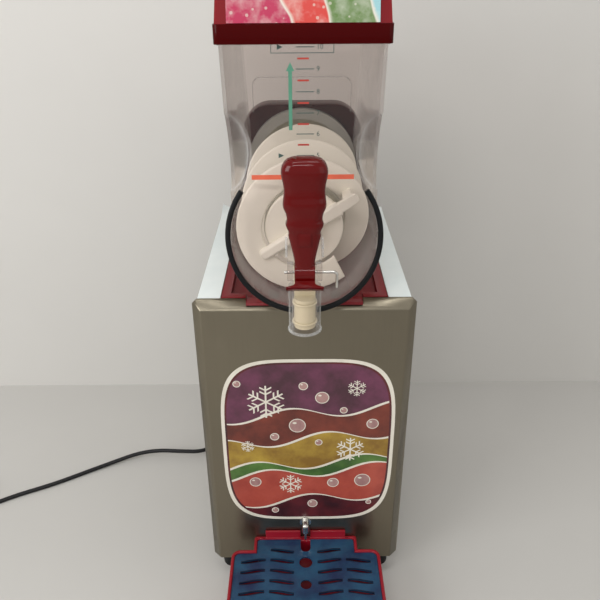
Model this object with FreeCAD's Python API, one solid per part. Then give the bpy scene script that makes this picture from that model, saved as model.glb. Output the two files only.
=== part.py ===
import FreeCAD, Part
import math
import os

os.makedirs("parts", exist_ok=True)

# A single bowl slush machine. Millimetres, +Z up, the front faces -Y, X = 0 is the middle.
# Z = 0 is the surface that the machine stands on.

# Cabinet
panel_width = 270.0        # front panel over its folded borders
panel_border = 11.0        # width of the 45 degree border, and its depth
panel_corner = 6.0         # trimmed off the two top corners of the border
sheet = 1.2                # steel sheet
foot_height = 33.0
foot_radius = 16.0
foot_inset = 25.0          # foot's centre in from the panel's side edge
foot_back = 27.0           # foot's centre behind the front face, and ahead of the rear face
panel_clear = 11.5         # top of the front panel's flat, below the trough
body_depth = 335.0         # front face to rear face
tray_reach = 150.0         # drip tray in front of the front face
knob_reach = 11.0          # consistency knob behind the rear face
side_inset = 6.2           # side panels lie this far inside the front panel's edges
flange_width = 28.0        # broad top flange of each side panel
flange_drop = 2.0          # flanges lie this far under the front panel's top edge
return_width = 14.0        # narrow folds that stiffen the sheets
seam = 0.5                 # open seam between pieces that don't touch
vent_length = 70.0
vent_height = 5.0
vent_pitch = 17.0
vent_rows = 10
vent_low = 85.0            # height of the lowest vent in the sides
rear_vent_low = 145.0
pan_rim = 18.0             # upturned rim of the base pan
pan_sheet = 1.8
screw_radius = 2.0

# Spill deck
deck_gap = 1.6             # open line between the deck and the side flanges
deck_floor = 4.0
deck_rise = 3.0            # deck's rim above the side flanges
deck_depth = 7.0           # basin below the deck's rim
deck_rim = 11.0            # width of the rim
deck_ledge = 12.0          # ledge that runs under the side flanges
dip_half = 70.0            # half width of the dip in front, under the trough
dip_drop = 3.5             # dip below the deck's rim
lip_thick = 2.0

# Freezing drum, auger and drive, all on one level axis
axis_height = 541.0
trough_radius = 84.5       # outside of the trough
bowl_wall = 3.5
auger_gap = 3.5            # auger to trough
blade_width = 29.5         # auger's blade, radially
blade_thick = 5.0
blade_start = 17.0         # front of the blade behind the front face
blade_flat = 150.0         # degrees of flat blade before it starts to climb
blade_pitch = 85.0
blade_short = 4.0          # blade ends this far ahead of the gasket
blade_first = -48.0        # angle of the blade's front end, seen from the front
bar_angle = 33.0           # cross bar on the front of the auger
bar_width = 15.0
bar_depth = 7.0
bar_reach = 60.0           # cross bar's ends from the axis
bar_post = 12.0            # posts that join the bar to the blade
drum_gap = 2.0             # drum to blade
drum_wall = 2.0
drum_front = 26.0          # drum's front behind the front face
cap_thick = 5.0            # white cap on the drum's front
shaft_radius = 6.0
bush_fit = 0.05
bush_wall = 1.45
bush_length = 30.0
hub_radius = 12.0
nut_radius = 11.0
nut_length = 4.5
works_depth = 35.0         # bowl's back, and housing's front, ahead of the rear face
flange_inset = 11.5        # drum's rear flange is this much smaller than the auger
flange_thick = 3.0
gasket_gap = 0.4
gasket_length = 12.0

# Rear housing and drive
housing_half = 88.0
housing_above = 85.0       # housing's top above the axis
housing_corner = 42.0
housing_wall = 2.5
works_half = 66.0          # half width of the opening between deck and housing
gearbox_half = 45.0
gearbox_depth = 27.0
gearbox_below = 156.0      # gearbox below the axis
gearbox_above = 34.0       # gearbox above the axis
gearbox_round = 12.0
motor_radius = 34.0
motor_length = 88.0
motor_below = 133.0        # motor's axis below the drum's axis
knob_radius = 11.0
knob_above = 59.0          # knob above the drum's axis
knob_gap = 0.4
knob_stem = 3.0
knob_collar = 5.5

# Bowl
front_lean = 9.65          # degrees that the bowl's front leans back
front_at_axis = -5.0       # bowl's front at axis height, behind the front face
hopper_low_half = 79.0     # half width of the hopper where it meets the trough
hopper_above = 30.0        # where the hopper meets the trough, above the axis
hopper_top_half = 87.0
hopper_height = 171.0
rim_lip = 1.4              # hopper's rim stands out this far
rim_deep = 5.0
scallop_half = 25.0        # hollow in each front corner, just above the trough
scallop_tall = 42.0        # half its height
scallop_above = 91.0       # its centre above the axis
scallop_out = 5.0          # its centre outside the hopper's side
scallop_ahead = 2.0        # and in front of the hopper's front
pad_half = 37.0            # two pads under the trough, each from the middle
pad_size = 12.0
ring_inside = 81.6         # black ring on the trough's front edge
ring_outside = 87.6
ring_thick = 4.5
ring_end = 36.6            # degrees above level where the ring ends on each side
seat_gap = 0.3             # pieces that rest on each other

# Tap
tap_y = -36.0              # tube's axis behind the front face
tube_radius = 18.0
tube_bore = 14.2
tube_below = 100.0         # tube's open end below the axis
tube_length = 55.0
port_half = 8.0
port_rise = 19.5           # port above the tube's open end
port_tall = 7.5
bridge_wall = 3.5
bridge_above = 12.0        # bridge above the port
pin_y = -49.0
pin_below = 23.0           # pin below the axis
pin_radius = 1.5
pin_fit = 0.05
pin_right = 34.5
pin_left = 3.5             # pin's end past the left ear
pin_drop = 18.5
pin_bend = 4.0
ear_inside = 12.5
ear_thick = 6.0
ear_above = 35.0           # ears' top above the pin
ear_radius = 9.5
ear_brow = 12.0            # front of the ears above the pin, clear of the grip
hub_side_gap = 1.5
handle_hub = 11.0
foot_reach = 20.3          # underside of the handle's foot, from the pin
foot_inside = 13.5         # its upper side
foot_width = 39.8
foot_ahead = 60.0          # degrees that the foot runs forward of straight down
foot_behind = -2.5         # degrees; its rear end stays ahead of the pin, clear of the piston
foot_clear = 0.7
pull_angle = 50.0
nose_arm = 17.0
nose_thick = 5.0
slot_clear = 1.8
piston_radius = 12.1
piston_rise = 5.0          # piston's lower end above the tube's
piston_length = 36.0
seal_radius = 1.55
seal_fit = 0.05
groove_gap = 0.15
seal_inset = 6.0           # seals in from the piston's two ends
handle_rows = (            # height above the pin, half width, half depth
    (5.0, 10.2, 8.3), (8.0, 10.2, 8.5), (19.5, 12.0, 9.0), (33.0, 15.1, 10.0), (43.5, 17.4, 10.5),
    (48.0, 17.2, 11.5), (56.0, 20.0, 12.5), (61.0, 18.6, 12.0), (68.0, 19.8, 12.0), (76.5, 22.6, 13.5),
    (83.5, 21.8, 13.0), (90.5, 21.1, 12.5), (100.5, 22.3, 13.5), (109.0, 23.8, 14.5), (115.0, 22.8, 14.0),
    (121.0, 19.5, 12.0), (124.0, 13.8, 8.5))

# Lid
lid_half = 91.5
lid_overlap = 4.0          # lid's rim reaches this far down over the hopper
rim_height = 19.0
rim_wall = 2.5
lid_ahead = 6.5            # lid's front edge in front of the hopper's top edge
lid_behind = 7.0           # lid's back edge behind the bowl
lid_height = 93.0
lid_corner = 6.0
crown_step = 2.0           # crown lies this far inside the rim
crown_shoulder = 28.0      # height of the crown's straight front and back
lid_side_lean = 5.0        # how far each side closes in
sheet_half = 77.0          # half width of the printed sheet
sheet_thick = 1.0
lid_base_thick = 2.5
board_half = 60.0
board_short = 45.0         # lamp board ends this far inside the bowl's front and back
board_thick = 1.6
lamp_radius = 2.5
lamp_height = 1.8
lamp_pitch = 30.0

# Drip tray
tray_half = 103.5
tray_neck_half = 73.0
tray_neck = 25.0           # depth of the narrow part at the back
tray_top = 76.0
tray_depth = 30.0
tray_floor = 3.0
tray_wall = 4.0
tray_corner = 12.0
ledge_half = 57.0
ledge_height = 12.5
ledge_thick = 3.5
ledge_notch = 7.0
tongue_centre = 38.0
tongue_width = 22.0
tongue_height = 5.0
tongue_below = 12.0        # tongues below the tray's rim
tongue_reach = 16.0
tongue_gap = 0.4
grille_thick = 2.0
grille_gap = 0.5
grille_recess = 2.0
slot_width = 4.0
slot_pitch = 17.2
slot_first = 43.0          # first full row of slots, in front of the front face
slot_rows = 5
slot_rise = 4.0
slot_columns = ((-89.0, -56.5), (-48.5, -17.0), (17.0, 48.5), (56.5, 89.0))
drip_holes = ((45.5, 9.0), (81.5, 7.5), (117.5, 7.5))    # in front of the front face, and radius

# Drain spout
spout_height = 105.0
spout_radius = 4.8
spout_reach = 10.0
spout_drop = 13.0
spout_tip = 12.0
spout_inside = 12.0        # spout's end behind the front face
hose_radius = 7.0
hose_y = 34.0
hose_bend = 14.0
drain_hole = 4.0

# Refrigeration
comp_x = -48.0
comp_back = 110.0          # compressor's axis ahead of the rear face
comp_radius = 58.0
comp_low = 50.0
comp_high = 200.0
comp_foot = 3.0
comp_crown = 32.0
mount_radius = 9.0
cond_side = 35.6           # condenser's near face in from the side panel
cond_thick = 24.0
cond_front = 70.0
cond_behind = 75.0         # its end ahead of the rear face
cond_top = 245.0
cond_bend = 10.0
cond_rows = 9
cond_pitch = 20.0
shroud_thick = 8.0
fan_z = 145.0
fan_radius = 74.0
fan_hole = 78.0
fan_hub = 18.0
fan_blades = 5
fan_twist = 62.0
fan_motor_radius = 27.0
fan_motor_length = 35.0
fan_shaft = 3.0
bracket_from = 68.0        # motor's bracket in from the condenser
bracket_thick = 3.0
bracket_half = 20.0
pipe_radius = 4.0
pipe_bend = 12.0
capillary_radius = 2.0
suction_height = 300.0     # where the lines cross to the right and to the drier
capillary_height = 340.0
line_drop = 17.0           # lines run down this far behind the bowl's back
discharge_side = 30.0      # outlet from the compressor's axis
discharge_over = 25.0      # discharge line above the condenser
bracket_foot = 30.0
drier_radius = 11.0
drier_y = 120.0
drier_low = 130.0
drier_high = 215.0
drier_cone = 14.0

# Electrical
switch_y = 80.0
switch_drop = 70.0         # middle switch below the panel's top
switch_pitch = 24.0
plate_width = 40.0
plate_height = 92.0
plate_thick = 1.5
plate_edge = 4.0           # plate's rim outside its opening in the side
rocker_half_y = 6.2
rocker_half_z = 9.4
rocker_proud = 2.6
rocker_depth = 6.0
rocker_dish = 60.0
rocker_tilt = 8.0
rocker_gap = 0.5
axle_radius = 1.5
control_front = 18.0
control_depth = 80.0
control_drop = 20.0
control_height = 125.0
control_thick = 48.0
relief_x = -85.0
relief_z = 62.0
relief_length = 11.0
relief_radius = 8.0

# Mains cord and plug
cord_radius = 3.5
coil_pitch = 7.6           # turn to turn, and layer to layer
coil_inner = 27.0          # radius where the coil reverses
coil_turns = (2.0, 1.55)   # turns of the lower and the upper layer
coil_tail = 42.0           # straight end that leads to the plug
plug_half_width = 13.0
plug_length = 27.0
plug_neck = 22.0
blade_apart = 6.35         # plug's blades, each from the middle
blade_reach = 16.5
earth_below = 11.9

# Places that follow from the sizes above
face_y = -(body_depth + tray_reach + knob_reach) / 2.0 + tray_reach
rear_y = face_y + body_depth
rear_wall = body_depth - works_depth
side_x = panel_width / 2.0 - side_inset
side_in = side_x - sheet
panel_top = axis_height - trough_radius - panel_clear
border_top = panel_top + panel_border
flange_top = border_top - flange_drop
flange_in = side_x - flange_width
inner_front = face_y + panel_border + sheet
deck_half = flange_in - deck_gap
deck_top = flange_top + deck_rise
deck_low = deck_top - deck_depth - deck_floor
basin_z = deck_top - deck_depth
dip_top = deck_top - dip_drop
pan_floor = foot_height + pan_sheet
auger_radius = trough_radius - bowl_wall - auger_gap
blade_inner = auger_radius - blade_width
drum_radius = blade_inner - drum_gap
drum_flange = auger_radius - flange_inset
bush_bore = shaft_radius + bush_fit
bush_outer = bush_bore + bush_wall
bowl_back = face_y + rear_wall
drum_face = face_y + drum_front
lean = math.tan(math.radians(front_lean))
housing_top = axis_height + housing_above
gearbox_low = axis_height - gearbox_below
knob_height = axis_height + knob_above
hopper_low = axis_height + hopper_above
hopper_top = hopper_low + hopper_height
scallop_height = axis_height + scallop_above
tube_low = axis_height - tube_below
tube_top = tube_low + tube_length
port_low = tube_low + port_rise
port_high = port_low + port_tall
pin_z = axis_height - pin_below
ear_top = pin_z + ear_above
piston_low = tube_low + piston_rise
piston_high = piston_low + piston_length
seal_heights = (piston_low + seal_inset, piston_high - seal_inset)
lid_low = hopper_top - lid_overlap
lid_top = lid_low + lid_height
rim_top = lid_low + rim_height
comp_y = body_depth - comp_back
cond_near = side_in - cond_side
cond_back = body_depth - cond_behind
fan_y = (cond_front + cond_back) / 2.0
bracket_x = cond_near - bracket_from
switch_z = panel_top - switch_drop
control_high = panel_top - control_drop
control_low = control_high - control_height
lid_base_top = hopper_top + seat_gap + lid_base_thick


def vec(x, y, z):
    return FreeCAD.Vector(x, y, z)


def box(x0, x1, y0, y1, z0, z1):
    return Part.makeBox(x1 - x0, y1 - y0, z1 - z0, vec(x0, y0, z0))


def rod(radius, start, end):
    along = vec(*end) - vec(*start)
    return Part.makeCylinder(radius, along.Length, vec(*start), along)


def pipe_ring(outer, inner, start, end):
    return rod(outer, start, end).cut(rod(inner, start, end))


def fuse(shapes):
    whole = shapes[0]
    for shape in shapes[1:]:
        whole = whole.fuse(shape)
    return whole.removeSplitter()


def loop(points):
    return Part.makePolygon([vec(*p) for p in points + points[:1]])


def prism_x(points, x0, x1):
    return Part.Face(loop([(x0, y, z) for y, z in points])).extrude(vec(x1 - x0, 0, 0))


def prism_y(points, y0, y1):
    return Part.Face(loop([(x, y0, z) for x, z in points])).extrude(vec(0, y1 - y0, 0))


def loft(sections, ruled=True):
    return Part.makeLoft(sections, True, ruled)


def rectangle_y(half, z0, z1, y):
    return loop([(-half, y, z0), (half, y, z0), (half, y, z1), (-half, y, z1)])


def rectangle_z(half, y0, y1, z):
    return loop([(-half, y0, z), (half, y0, z), (half, y1, z), (-half, y1, z)])


def long_edges(shape, axis, least=1.0):
    """The straight edges that run along one axis, 0 for X, 1 for Y and 2 for Z."""
    found = []
    for edge in shape.Edges:
        run = edge.Vertexes[-1].Point - edge.Vertexes[0].Point
        if abs(run[axis]) > least:
            found.append(edge)
    return found


def front_circles(shape, y):
    """The round edges of a turned piece that lie in one upright plane."""
    return [edge for edge in shape.Edges
            if edge.Curve.TypeId == "Part::GeomCircle" and abs(edge.CenterOfMass.y - y) < 0.01]


def mirror_x(shape):
    return shape.mirror(vec(0, 0, 0), vec(1, 0, 0))


def write(name, shape):
    solids = shape.Solids
    if not shape.isValid() or not solids:
        print("BAD", name)
    body = solids[0] if len(solids) == 1 else Part.makeCompound(solids)
    body.exportStep("parts/" + name + ".step")
    print("%-20s %2d solid %10.1f cm3" % (name, len(solids), body.Volume / 1000.0))


def lean_y(z, offset=0.0):
    """The bowl's leaning front face: its y at a height, moved back by an offset."""
    return face_y + front_at_axis + offset + (z - axis_height) * lean


def ahead_of_front(offset):
    """Everything in front of the bowl's leaning front face, moved back by an offset."""
    low, high, reach = tube_low - 60.0, lid_top + 60.0, 400.0
    back_low, back_high = lean_y(low, offset), lean_y(high, offset)
    points = [(back_low - reach, low), (back_low, low), (back_high, high), (back_high - reach, high)]
    return prism_x(points, -150.0, 150.0)


# Cabinet sheets
def make_feet():
    for side, sign in (("left", -1.0), ("right", 1.0)):
        for end, y in (("front", face_y + foot_back), ("rear", rear_y - foot_back)):
            x = sign * (panel_width / 2.0 - foot_inset)
            pad = Part.makeCone(foot_radius - 2.0, foot_radius, foot_height, vec(x, y, 0))
            screw_well = rod(foot_radius / 4.0, (x, y, 0), (x, y, foot_height / 5.0))
            write("foot_%s_%s" % (end, side), pad.cut(screw_well))


def make_base_pan():
    low, high = foot_height, foot_height + pan_rim
    front, back = inner_front + sheet, rear_y - 2.0 * sheet
    pan = box(-side_in, side_in, front, back, low, high)
    inside = box(-side_in + pan_sheet, side_in - pan_sheet, front + pan_sheet, back - pan_sheet,
                 pan_floor, high + 1.0)
    write("base_pan", pan.cut(inside))


def trimmed_corners(shape, half, high, y0, y1):
    """Cuts the two top corners of the panel's border at 45 degrees."""
    for sign in (-1.0, 1.0):
        trim = [(sign * (half - panel_corner), high), (sign * half, high - panel_corner),
                (sign * (half + 1.0), high - panel_corner), (sign * (half + 1.0), high + 1.0),
                (sign * (half - panel_corner), high + 1.0)]
        shape = shape.cut(prism_y(trim, y0 - 1.0, y1 + 1.0))
    return shape


def panel_block(inset):
    """The front panel as a block, drawn in by an inset."""
    half, high = panel_width / 2.0 - inset, border_top - inset
    front, back = face_y + inset, face_y + panel_border
    slope = panel_border - inset * (1.0 - math.tan(math.radians(22.5)))
    faces = [rectangle_y(half - slope, foot_height, high - slope, front),
             rectangle_y(half, foot_height, high, back)]
    return trimmed_corners(loft(faces), half, high, front, back)


def make_front_panel():
    shell = panel_block(0.0).cut(panel_block(sheet))
    half = panel_width / 2.0
    back = face_y + panel_border
    fold_half = half - return_width - side_inset
    fold = box(-half, half, back, back + sheet, foot_height, border_top)
    fold = fold.cut(box(-fold_half, fold_half, back, back + sheet, foot_height + return_width,
                        border_top - return_width))
    panel = shell.fuse(trimmed_corners(fold, half, border_top, back, back + sheet))
    dip_low = dip_top - lip_thick - seam
    dip = box(-dip_half, dip_half, face_y - 1.0, back + sheet + 1.0, dip_low, border_top + 1.0)
    hole = rod(spout_radius + seam, (0, face_y - 1.0, spout_height), (0, face_y + 5.0, spout_height))
    panel = panel.cut(dip).cut(hole)
    for sign in (-1.0, 1.0):
        panel = panel.cut(tongue(sign, tongue_gap))
    write("front_panel", panel.removeSplitter())


def vent_row(x0, x1, y0, y1, low):
    cuts = [box(x0, x1, y0, y1, low + row * vent_pitch, low + row * vent_pitch + vent_height)
            for row in range(vent_rows)]
    return Part.makeCompound(cuts)


def rear_screw_spots():
    low, high = foot_height + 25.0, flange_top - 25.0
    x = side_in - return_width / 2.0
    return [(sign * x, z) for sign in (-1.0, 1.0) for z in (low, (low + high) / 2.0, high)]


def screw_holes(shape):
    for x, z in rear_screw_spots():
        shape = shape.cut(rod(screw_radius + 0.1, (x, rear_y - 5.0, z), (x, rear_y + 1.0, z)))
    return shape


def make_side_panels():
    fold_in = side_x - return_width
    skin = box(side_in, side_x, inner_front, rear_y, foot_height, flange_top)
    top = box(flange_in, side_x, inner_front, rear_y - sheet, flange_top - sheet, flange_top)
    front = box(fold_in, side_x, inner_front, inner_front + sheet, foot_height, flange_top)
    back = box(fold_in, side_x, rear_y - 2.0 * sheet, rear_y - sheet, foot_height, flange_top)
    right = fuse([skin, top, front, back])
    middle = (face_y + rear_y) / 2.0
    gap = vent_height * 1.6
    for y in (middle - gap - vent_length, middle + gap):
        right = right.cut(vent_row(side_in - 1.0, side_x + 1.0, y, y + vent_length, vent_low))
    right = screw_holes(right)
    write("left_side_panel", mirror_x(right))
    write("right_side_panel", right.cut(switch_pocket(side_in - 1.0, 0.0)))


def make_rear_panel():
    panel = box(-side_in, side_in, rear_y - sheet, rear_y, foot_height, flange_top)
    for row in range(vent_rows):
        z = rear_vent_low + row * vent_pitch
        panel = panel.cut(box(-vent_length, vent_length, rear_y - 2.0, rear_y + 1.0, z, z + vent_height))
    inlet = rod(relief_radius, (relief_x, rear_y - 5.0, relief_z), (relief_x, rear_y + 1.0, relief_z))
    write("rear_panel", screw_holes(panel).cut(inlet))
    screws = []
    for x, z in rear_screw_spots():
        shank = rod(screw_radius, (x, rear_y - 2.0 * sheet, z), (x, rear_y + 0.5, z))
        head = rod(2.1 * screw_radius, (x, rear_y, z), (x, rear_y + 2.4, z))
        slot = box(x - screw_radius, x + screw_radius, rear_y + 1.4, rear_y + 3.0, z - 0.5, z + 0.5)
        screws.append(shank.fuse(head).cut(slot))
    write("panel_screws", Part.makeCompound(screws))


def make_deck():
    front, back = inner_front + seam, rear_y - sheet - seam
    plate = box(-deck_half, deck_half, front, back, deck_low, deck_top)
    ledge_x = deck_half + deck_ledge
    ledge = box(-ledge_x, ledge_x, front + 2.0, back - 2.0, deck_low, flange_top - sheet)
    basin_x = deck_half - deck_rim
    basin = box(-basin_x, basin_x, front + deck_rim, bowl_back, basin_z, deck_top + 1.0)
    dip = box(-dip_half, dip_half, front - 1.0, front + deck_rim + 1.0, dip_top, deck_top + 1.0)
    works = box(-works_half, works_half, bowl_back + 2.0, rear_y - housing_wall - 1.0,
                deck_low - 1.0, deck_top + 1.0)
    drain_y = face_y + hose_y
    drain = rod(drain_hole, (0, drain_y, deck_low - 1.0), (0, drain_y, deck_top))
    deck = fuse([plate, ledge]).cut(basin).cut(dip).cut(works).cut(drain)
    low = dip_top - lip_thick
    border_y = face_y + low - panel_top
    lip = [(front + 0.5, low), (front + 0.5, dip_top), (border_y - 2.0, dip_top),
           (border_y - 4.0, dip_top - 2.6), (border_y - 2.9, dip_top - 3.5), (border_y - 1.4, low)]
    write("deck", fuse([deck, prism_x(lip, -dip_half + seam, dip_half - seam)]))


# Rear housing, drum and drive
def housing_outline(inset, y0, y1):
    half, top = housing_half - inset, housing_top - inset
    radius = housing_corner - inset
    wall = box(-half, half, y0, y1, deck_top, top - radius)
    crown = box(-half + radius, half - radius, y0, y1, deck_top, top)
    for x in (radius - half, half - radius):
        crown = crown.fuse(rod(radius, (x, y0, top - radius), (x, y1, top - radius)))
    return fuse([wall, crown])


def pipe_spots():
    """Where the two refrigerant lines pass the housing's front: x, height and radius."""
    return [(-56.0, axis_height - 20.0, pipe_radius), (-48.5, axis_height + 15.0, capillary_radius)]


def make_rear_housing():
    front, back = bowl_back, rear_y - housing_wall
    shell = housing_outline(0.0, front, back)
    shell = shell.cut(housing_outline(housing_wall, front + flange_thick, back + 1.0))
    shell = shell.cut(box(-works_half, works_half, front + flange_thick, back + 1.0, deck_top - 1.0,
                          deck_top + 2.0 * housing_wall))
    for x, z, radius in [(0.0, axis_height, shaft_radius + 2.5)] + pipe_spots():
        shell = shell.cut(rod(radius + seam, (x, front - 1.0, z), (x, front + flange_thick + 1.0, z)))
    write("rear_housing", shell)
    cover = housing_outline(0.0, back, rear_y)
    write("housing_cover", cover.cut(rod(knob_stem + 0.06, (0, back - 1.0, knob_height),
                                         (0, rear_y + 1.0, knob_height))))


def make_knob():
    near, far = rear_y + knob_gap, rear_y + knob_reach
    inner = rear_y - housing_wall
    z = knob_height
    grip = rod(knob_radius, (0, near, z), (0, far, z))
    for turn in range(12):
        angle = math.radians(30.0 * turn)
        x, up = knob_radius * math.cos(angle), knob_radius * math.sin(angle)
        grip = grip.cut(rod(1.3, (x, near + 2.0, z + up), (x, far + 1.0, z + up)))
    mark = box(-0.8, 0.8, far - 0.8, far + 1.0, z + 2.0, z + knob_radius)
    stem = rod(knob_stem, (0, inner - 4.0, z), (0, near + 1.0, z))
    collar = rod(knob_collar, (0, inner - 4.0, z), (0, inner - seat_gap, z))
    write("consistency_knob", fuse([grip.cut(mark), stem, collar]))


def make_evaporator():
    z, front, back = axis_height, drum_face, bowl_back
    inside = drum_radius - drum_wall
    shell = pipe_ring(drum_radius, inside, (0, front, z), (0, back, z))
    end = rod(drum_radius, (0, front, z), (0, front + 2.0 * drum_wall, z))
    core = rod(bush_outer + 3.0, (0, front, z), (0, back, z))
    flange = pipe_ring(drum_flange, inside, (0, back - flange_thick, z), (0, back, z))
    drum = fuse([shell, end, core, flange])
    write("evaporator", drum.cut(rod(bush_outer + bush_fit, (0, front - 1.0, z), (0, back + 1.0, z))))
    cap_front = front - cap_thick
    bore = shaft_radius + 5.0
    cap = rod(drum_radius - 1.0, (0, cap_front, z), (0, front, z))
    cap = cap.makeFillet(2.0, front_circles(cap, cap_front))
    write("evaporator_cap", cap.cut(rod(bore, (0, cap_front - 1.0, z), (0, front + 1.0, z))))
    seal = pipe_ring(bore - bush_fit, shaft_radius + seat_gap, (0, cap_front + 0.8, z), (0, front, z))
    write("shaft_seal", seal)
    write("shaft_bush", pipe_ring(bush_outer, bush_bore, (0, front, z), (0, front + bush_length, z)))


def make_drive():
    z = axis_height
    near = bowl_back + flange_thick
    far = near + gearbox_depth
    write("drive_shaft", rod(shaft_radius, (0, bar_front() + 1.5, z), (0, far - 5.0, z)))
    case = box(-gearbox_half, gearbox_half, near, far, gearbox_low, z + gearbox_above)
    case = case.makeFillet(gearbox_round, long_edges(case, 1))
    write("gearbox", case.cut(rod(bush_bore, (0, near - 1.0, z), (0, far - 3.0, z))))
    low = z - motor_below
    can = rod(motor_radius, (0, near - motor_length, low), (0, near, low))
    tail = rod(motor_radius - 8.0, (0, near - motor_length - 6.0, low), (0, near - motor_length, low))
    leads = box(motor_radius - 6.0, motor_radius + 14.0, near - 60.0, near - 20.0, low - 14.0, low + 14.0)
    write("gear_motor", fuse([can, tail, leads]))


# Auger
def bar_front():
    return face_y + blade_start - bar_depth


def blade_y(turned):
    return face_y + blade_start + max(0.0, turned - blade_flat) / 360.0 * blade_pitch


def blade_end():
    """Degrees turned where the blade ends, just ahead of the gasket."""
    run = rear_wall - gasket_length - blade_short - blade_thick - blade_start
    return blade_flat + run / blade_pitch * 360.0


def helix_edge(radius, back):
    """One edge of the climbing blade, as a smooth curve through points on the helix."""
    span = blade_end() - blade_flat
    steps = int(span / 15.0)
    points = []
    for step in range(steps + 1):
        turned = blade_flat + span * step / steps
        angle = math.radians(blade_first - turned)
        x, up = radius * math.cos(angle), radius * math.sin(angle)
        points.append(vec(x, blade_y(turned) + back, axis_height + up))
    curve = Part.BSplineCurve()
    curve.interpolate(points)
    return curve.toShape()


def climbing_blade():
    inner, inner_back = helix_edge(blade_inner, 0.0), helix_edge(blade_inner, blade_thick)
    outer, outer_back = helix_edge(auger_radius, 0.0), helix_edge(auger_radius, blade_thick)
    same_way = 1
    faces = [Part.makeRuledSurface(a, b, same_way) for a, b in
             ((inner, outer), (inner_back, outer_back), (inner, inner_back), (outer, outer_back))]
    for end in (0, -1):
        corners = [edge.Vertexes[end].Point for edge in (inner, outer, outer_back, inner_back)]
        faces.append(Part.Face(Part.makePolygon(corners + corners[:1])))
    skin = Part.makeCompound(faces)
    skin.sewShape()
    return Part.makeSolid(skin.Shells[0])


def flat_blade():
    """The blade's first stretch, which lies flat behind the bowl's front."""
    z, front = axis_height, face_y + blade_start
    whole = pipe_ring(auger_radius, blade_inner, (0, front, z), (0, front + blade_thick, z))
    wedge = [(0.0, z)]
    for step in range(6):
        angle = math.radians(blade_first - (blade_flat + 0.5) * step / 5.0)
        wedge.append((2.0 * auger_radius * math.cos(angle), z + 2.0 * auger_radius * math.sin(angle)))
    return whole.common(prism_y(wedge, front - 1.0, front + blade_thick + 1.0))


def cross_bar():
    z, front, back = axis_height, bar_front(), face_y + blade_start
    half = bar_width / 2.0
    bar = box(-bar_reach, bar_reach, front, back, z - half, z + half)
    bar = bar.makeFillet(2.0, [edge for edge in long_edges(bar, 0) if edge.CenterOfMass.y < front + 0.1])
    right_turned = blade_first - (bar_angle - 360.0)
    posts = [box(sign * bar_reach - (bar_post if sign > 0.0 else 0.0), sign * bar_reach +
                 (0.0 if sign > 0.0 else bar_post), front + 1.0, reach, z - half + 1.0, z + half - 1.0)
             for sign, reach in ((1.0, blade_y(right_turned) + blade_thick / 2.0),
                                 (-1.0, back + blade_thick / 2.0))]
    bar = fuse([bar] + posts)
    bar.rotate(vec(0, 0, z), vec(0, 1, 0), -bar_angle)
    return bar


def make_auger():
    z, front = axis_height, bar_front()
    back = drum_face - cap_thick - seam
    hub = rod(hub_radius, (0, front, z), (0, back, z))
    auger = fuse([climbing_blade(), flat_blade(), cross_bar(), hub])
    write("auger", auger.cut(rod(shaft_radius, (0, front + 1.5, z), (0, back + 1.0, z))))
    nut = rod(nut_radius, (0, front - nut_length, z), (0, front, z))
    write("auger_nut", nut.makeFillet(1.5, front_circles(nut, front - nut_length)))


# Bowl
def hopper(inset, front, back, low, high):
    def half_at(z):
        share = (z - hopper_low) / (hopper_top - hopper_low)
        return hopper_low_half + share * (hopper_top_half - hopper_low_half) - inset
    return loft([rectangle_z(half_at(z), front, back, z) for z in (low, high)])


def egg(x, y, z, across, tall):
    """An upright egg shape: half an ellipse spun about its long axis."""
    centre = vec(x, y, z)
    ellipse = Part.Ellipse(vec(x, y, z + tall), vec(x + across, y, z), centre)
    side = Part.ArcOfEllipse(ellipse, 0.0, math.pi).toShape()
    face = Part.Face(Part.Wire([side, Part.LineSegment(vec(x, y, z - tall), vec(x, y, z + tall)).toShape()]))
    return face.revolve(centre, vec(0, 0, 1), 360.0)


def corner_scallops(grow):
    """The hollows in the two front corners of the hopper, just above the trough."""
    y = lean_y(scallop_height) - scallop_ahead
    return [egg(sign * (hopper_low_half + scallop_out), y, scallop_height, scallop_half + grow,
                scallop_tall + grow) for sign in (-1.0, 1.0)]


def bowl_skin():
    z, far = axis_height, face_y + front_at_axis - 60.0
    back = bowl_back - seam
    low = hopper_low - 20.0
    outer = rod(trough_radius, (0, far, z), (0, back, z)).fuse(hopper(0.0, far, back, low, hopper_top))
    outer = outer.cut(ahead_of_front(0.0))
    inner = rod(trough_radius - bowl_wall, (0, far, z), (0, back + 1.0, z))
    inner = inner.fuse(hopper(bowl_wall, far, back - bowl_wall, low, hopper_top + 10.0))
    inner = inner.cut(ahead_of_front(bowl_wall))
    for hollow in corner_scallops(0.0):
        outer = outer.cut(hollow)
    for hollow in corner_scallops(bowl_wall):
        inner = inner.cut(hollow)
    rim = hopper(-rim_lip, lean_y(hopper_top, -rim_lip), back + rim_lip, hopper_top - rim_deep, hopper_top)
    return outer.fuse(rim).cut(inner)


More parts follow.
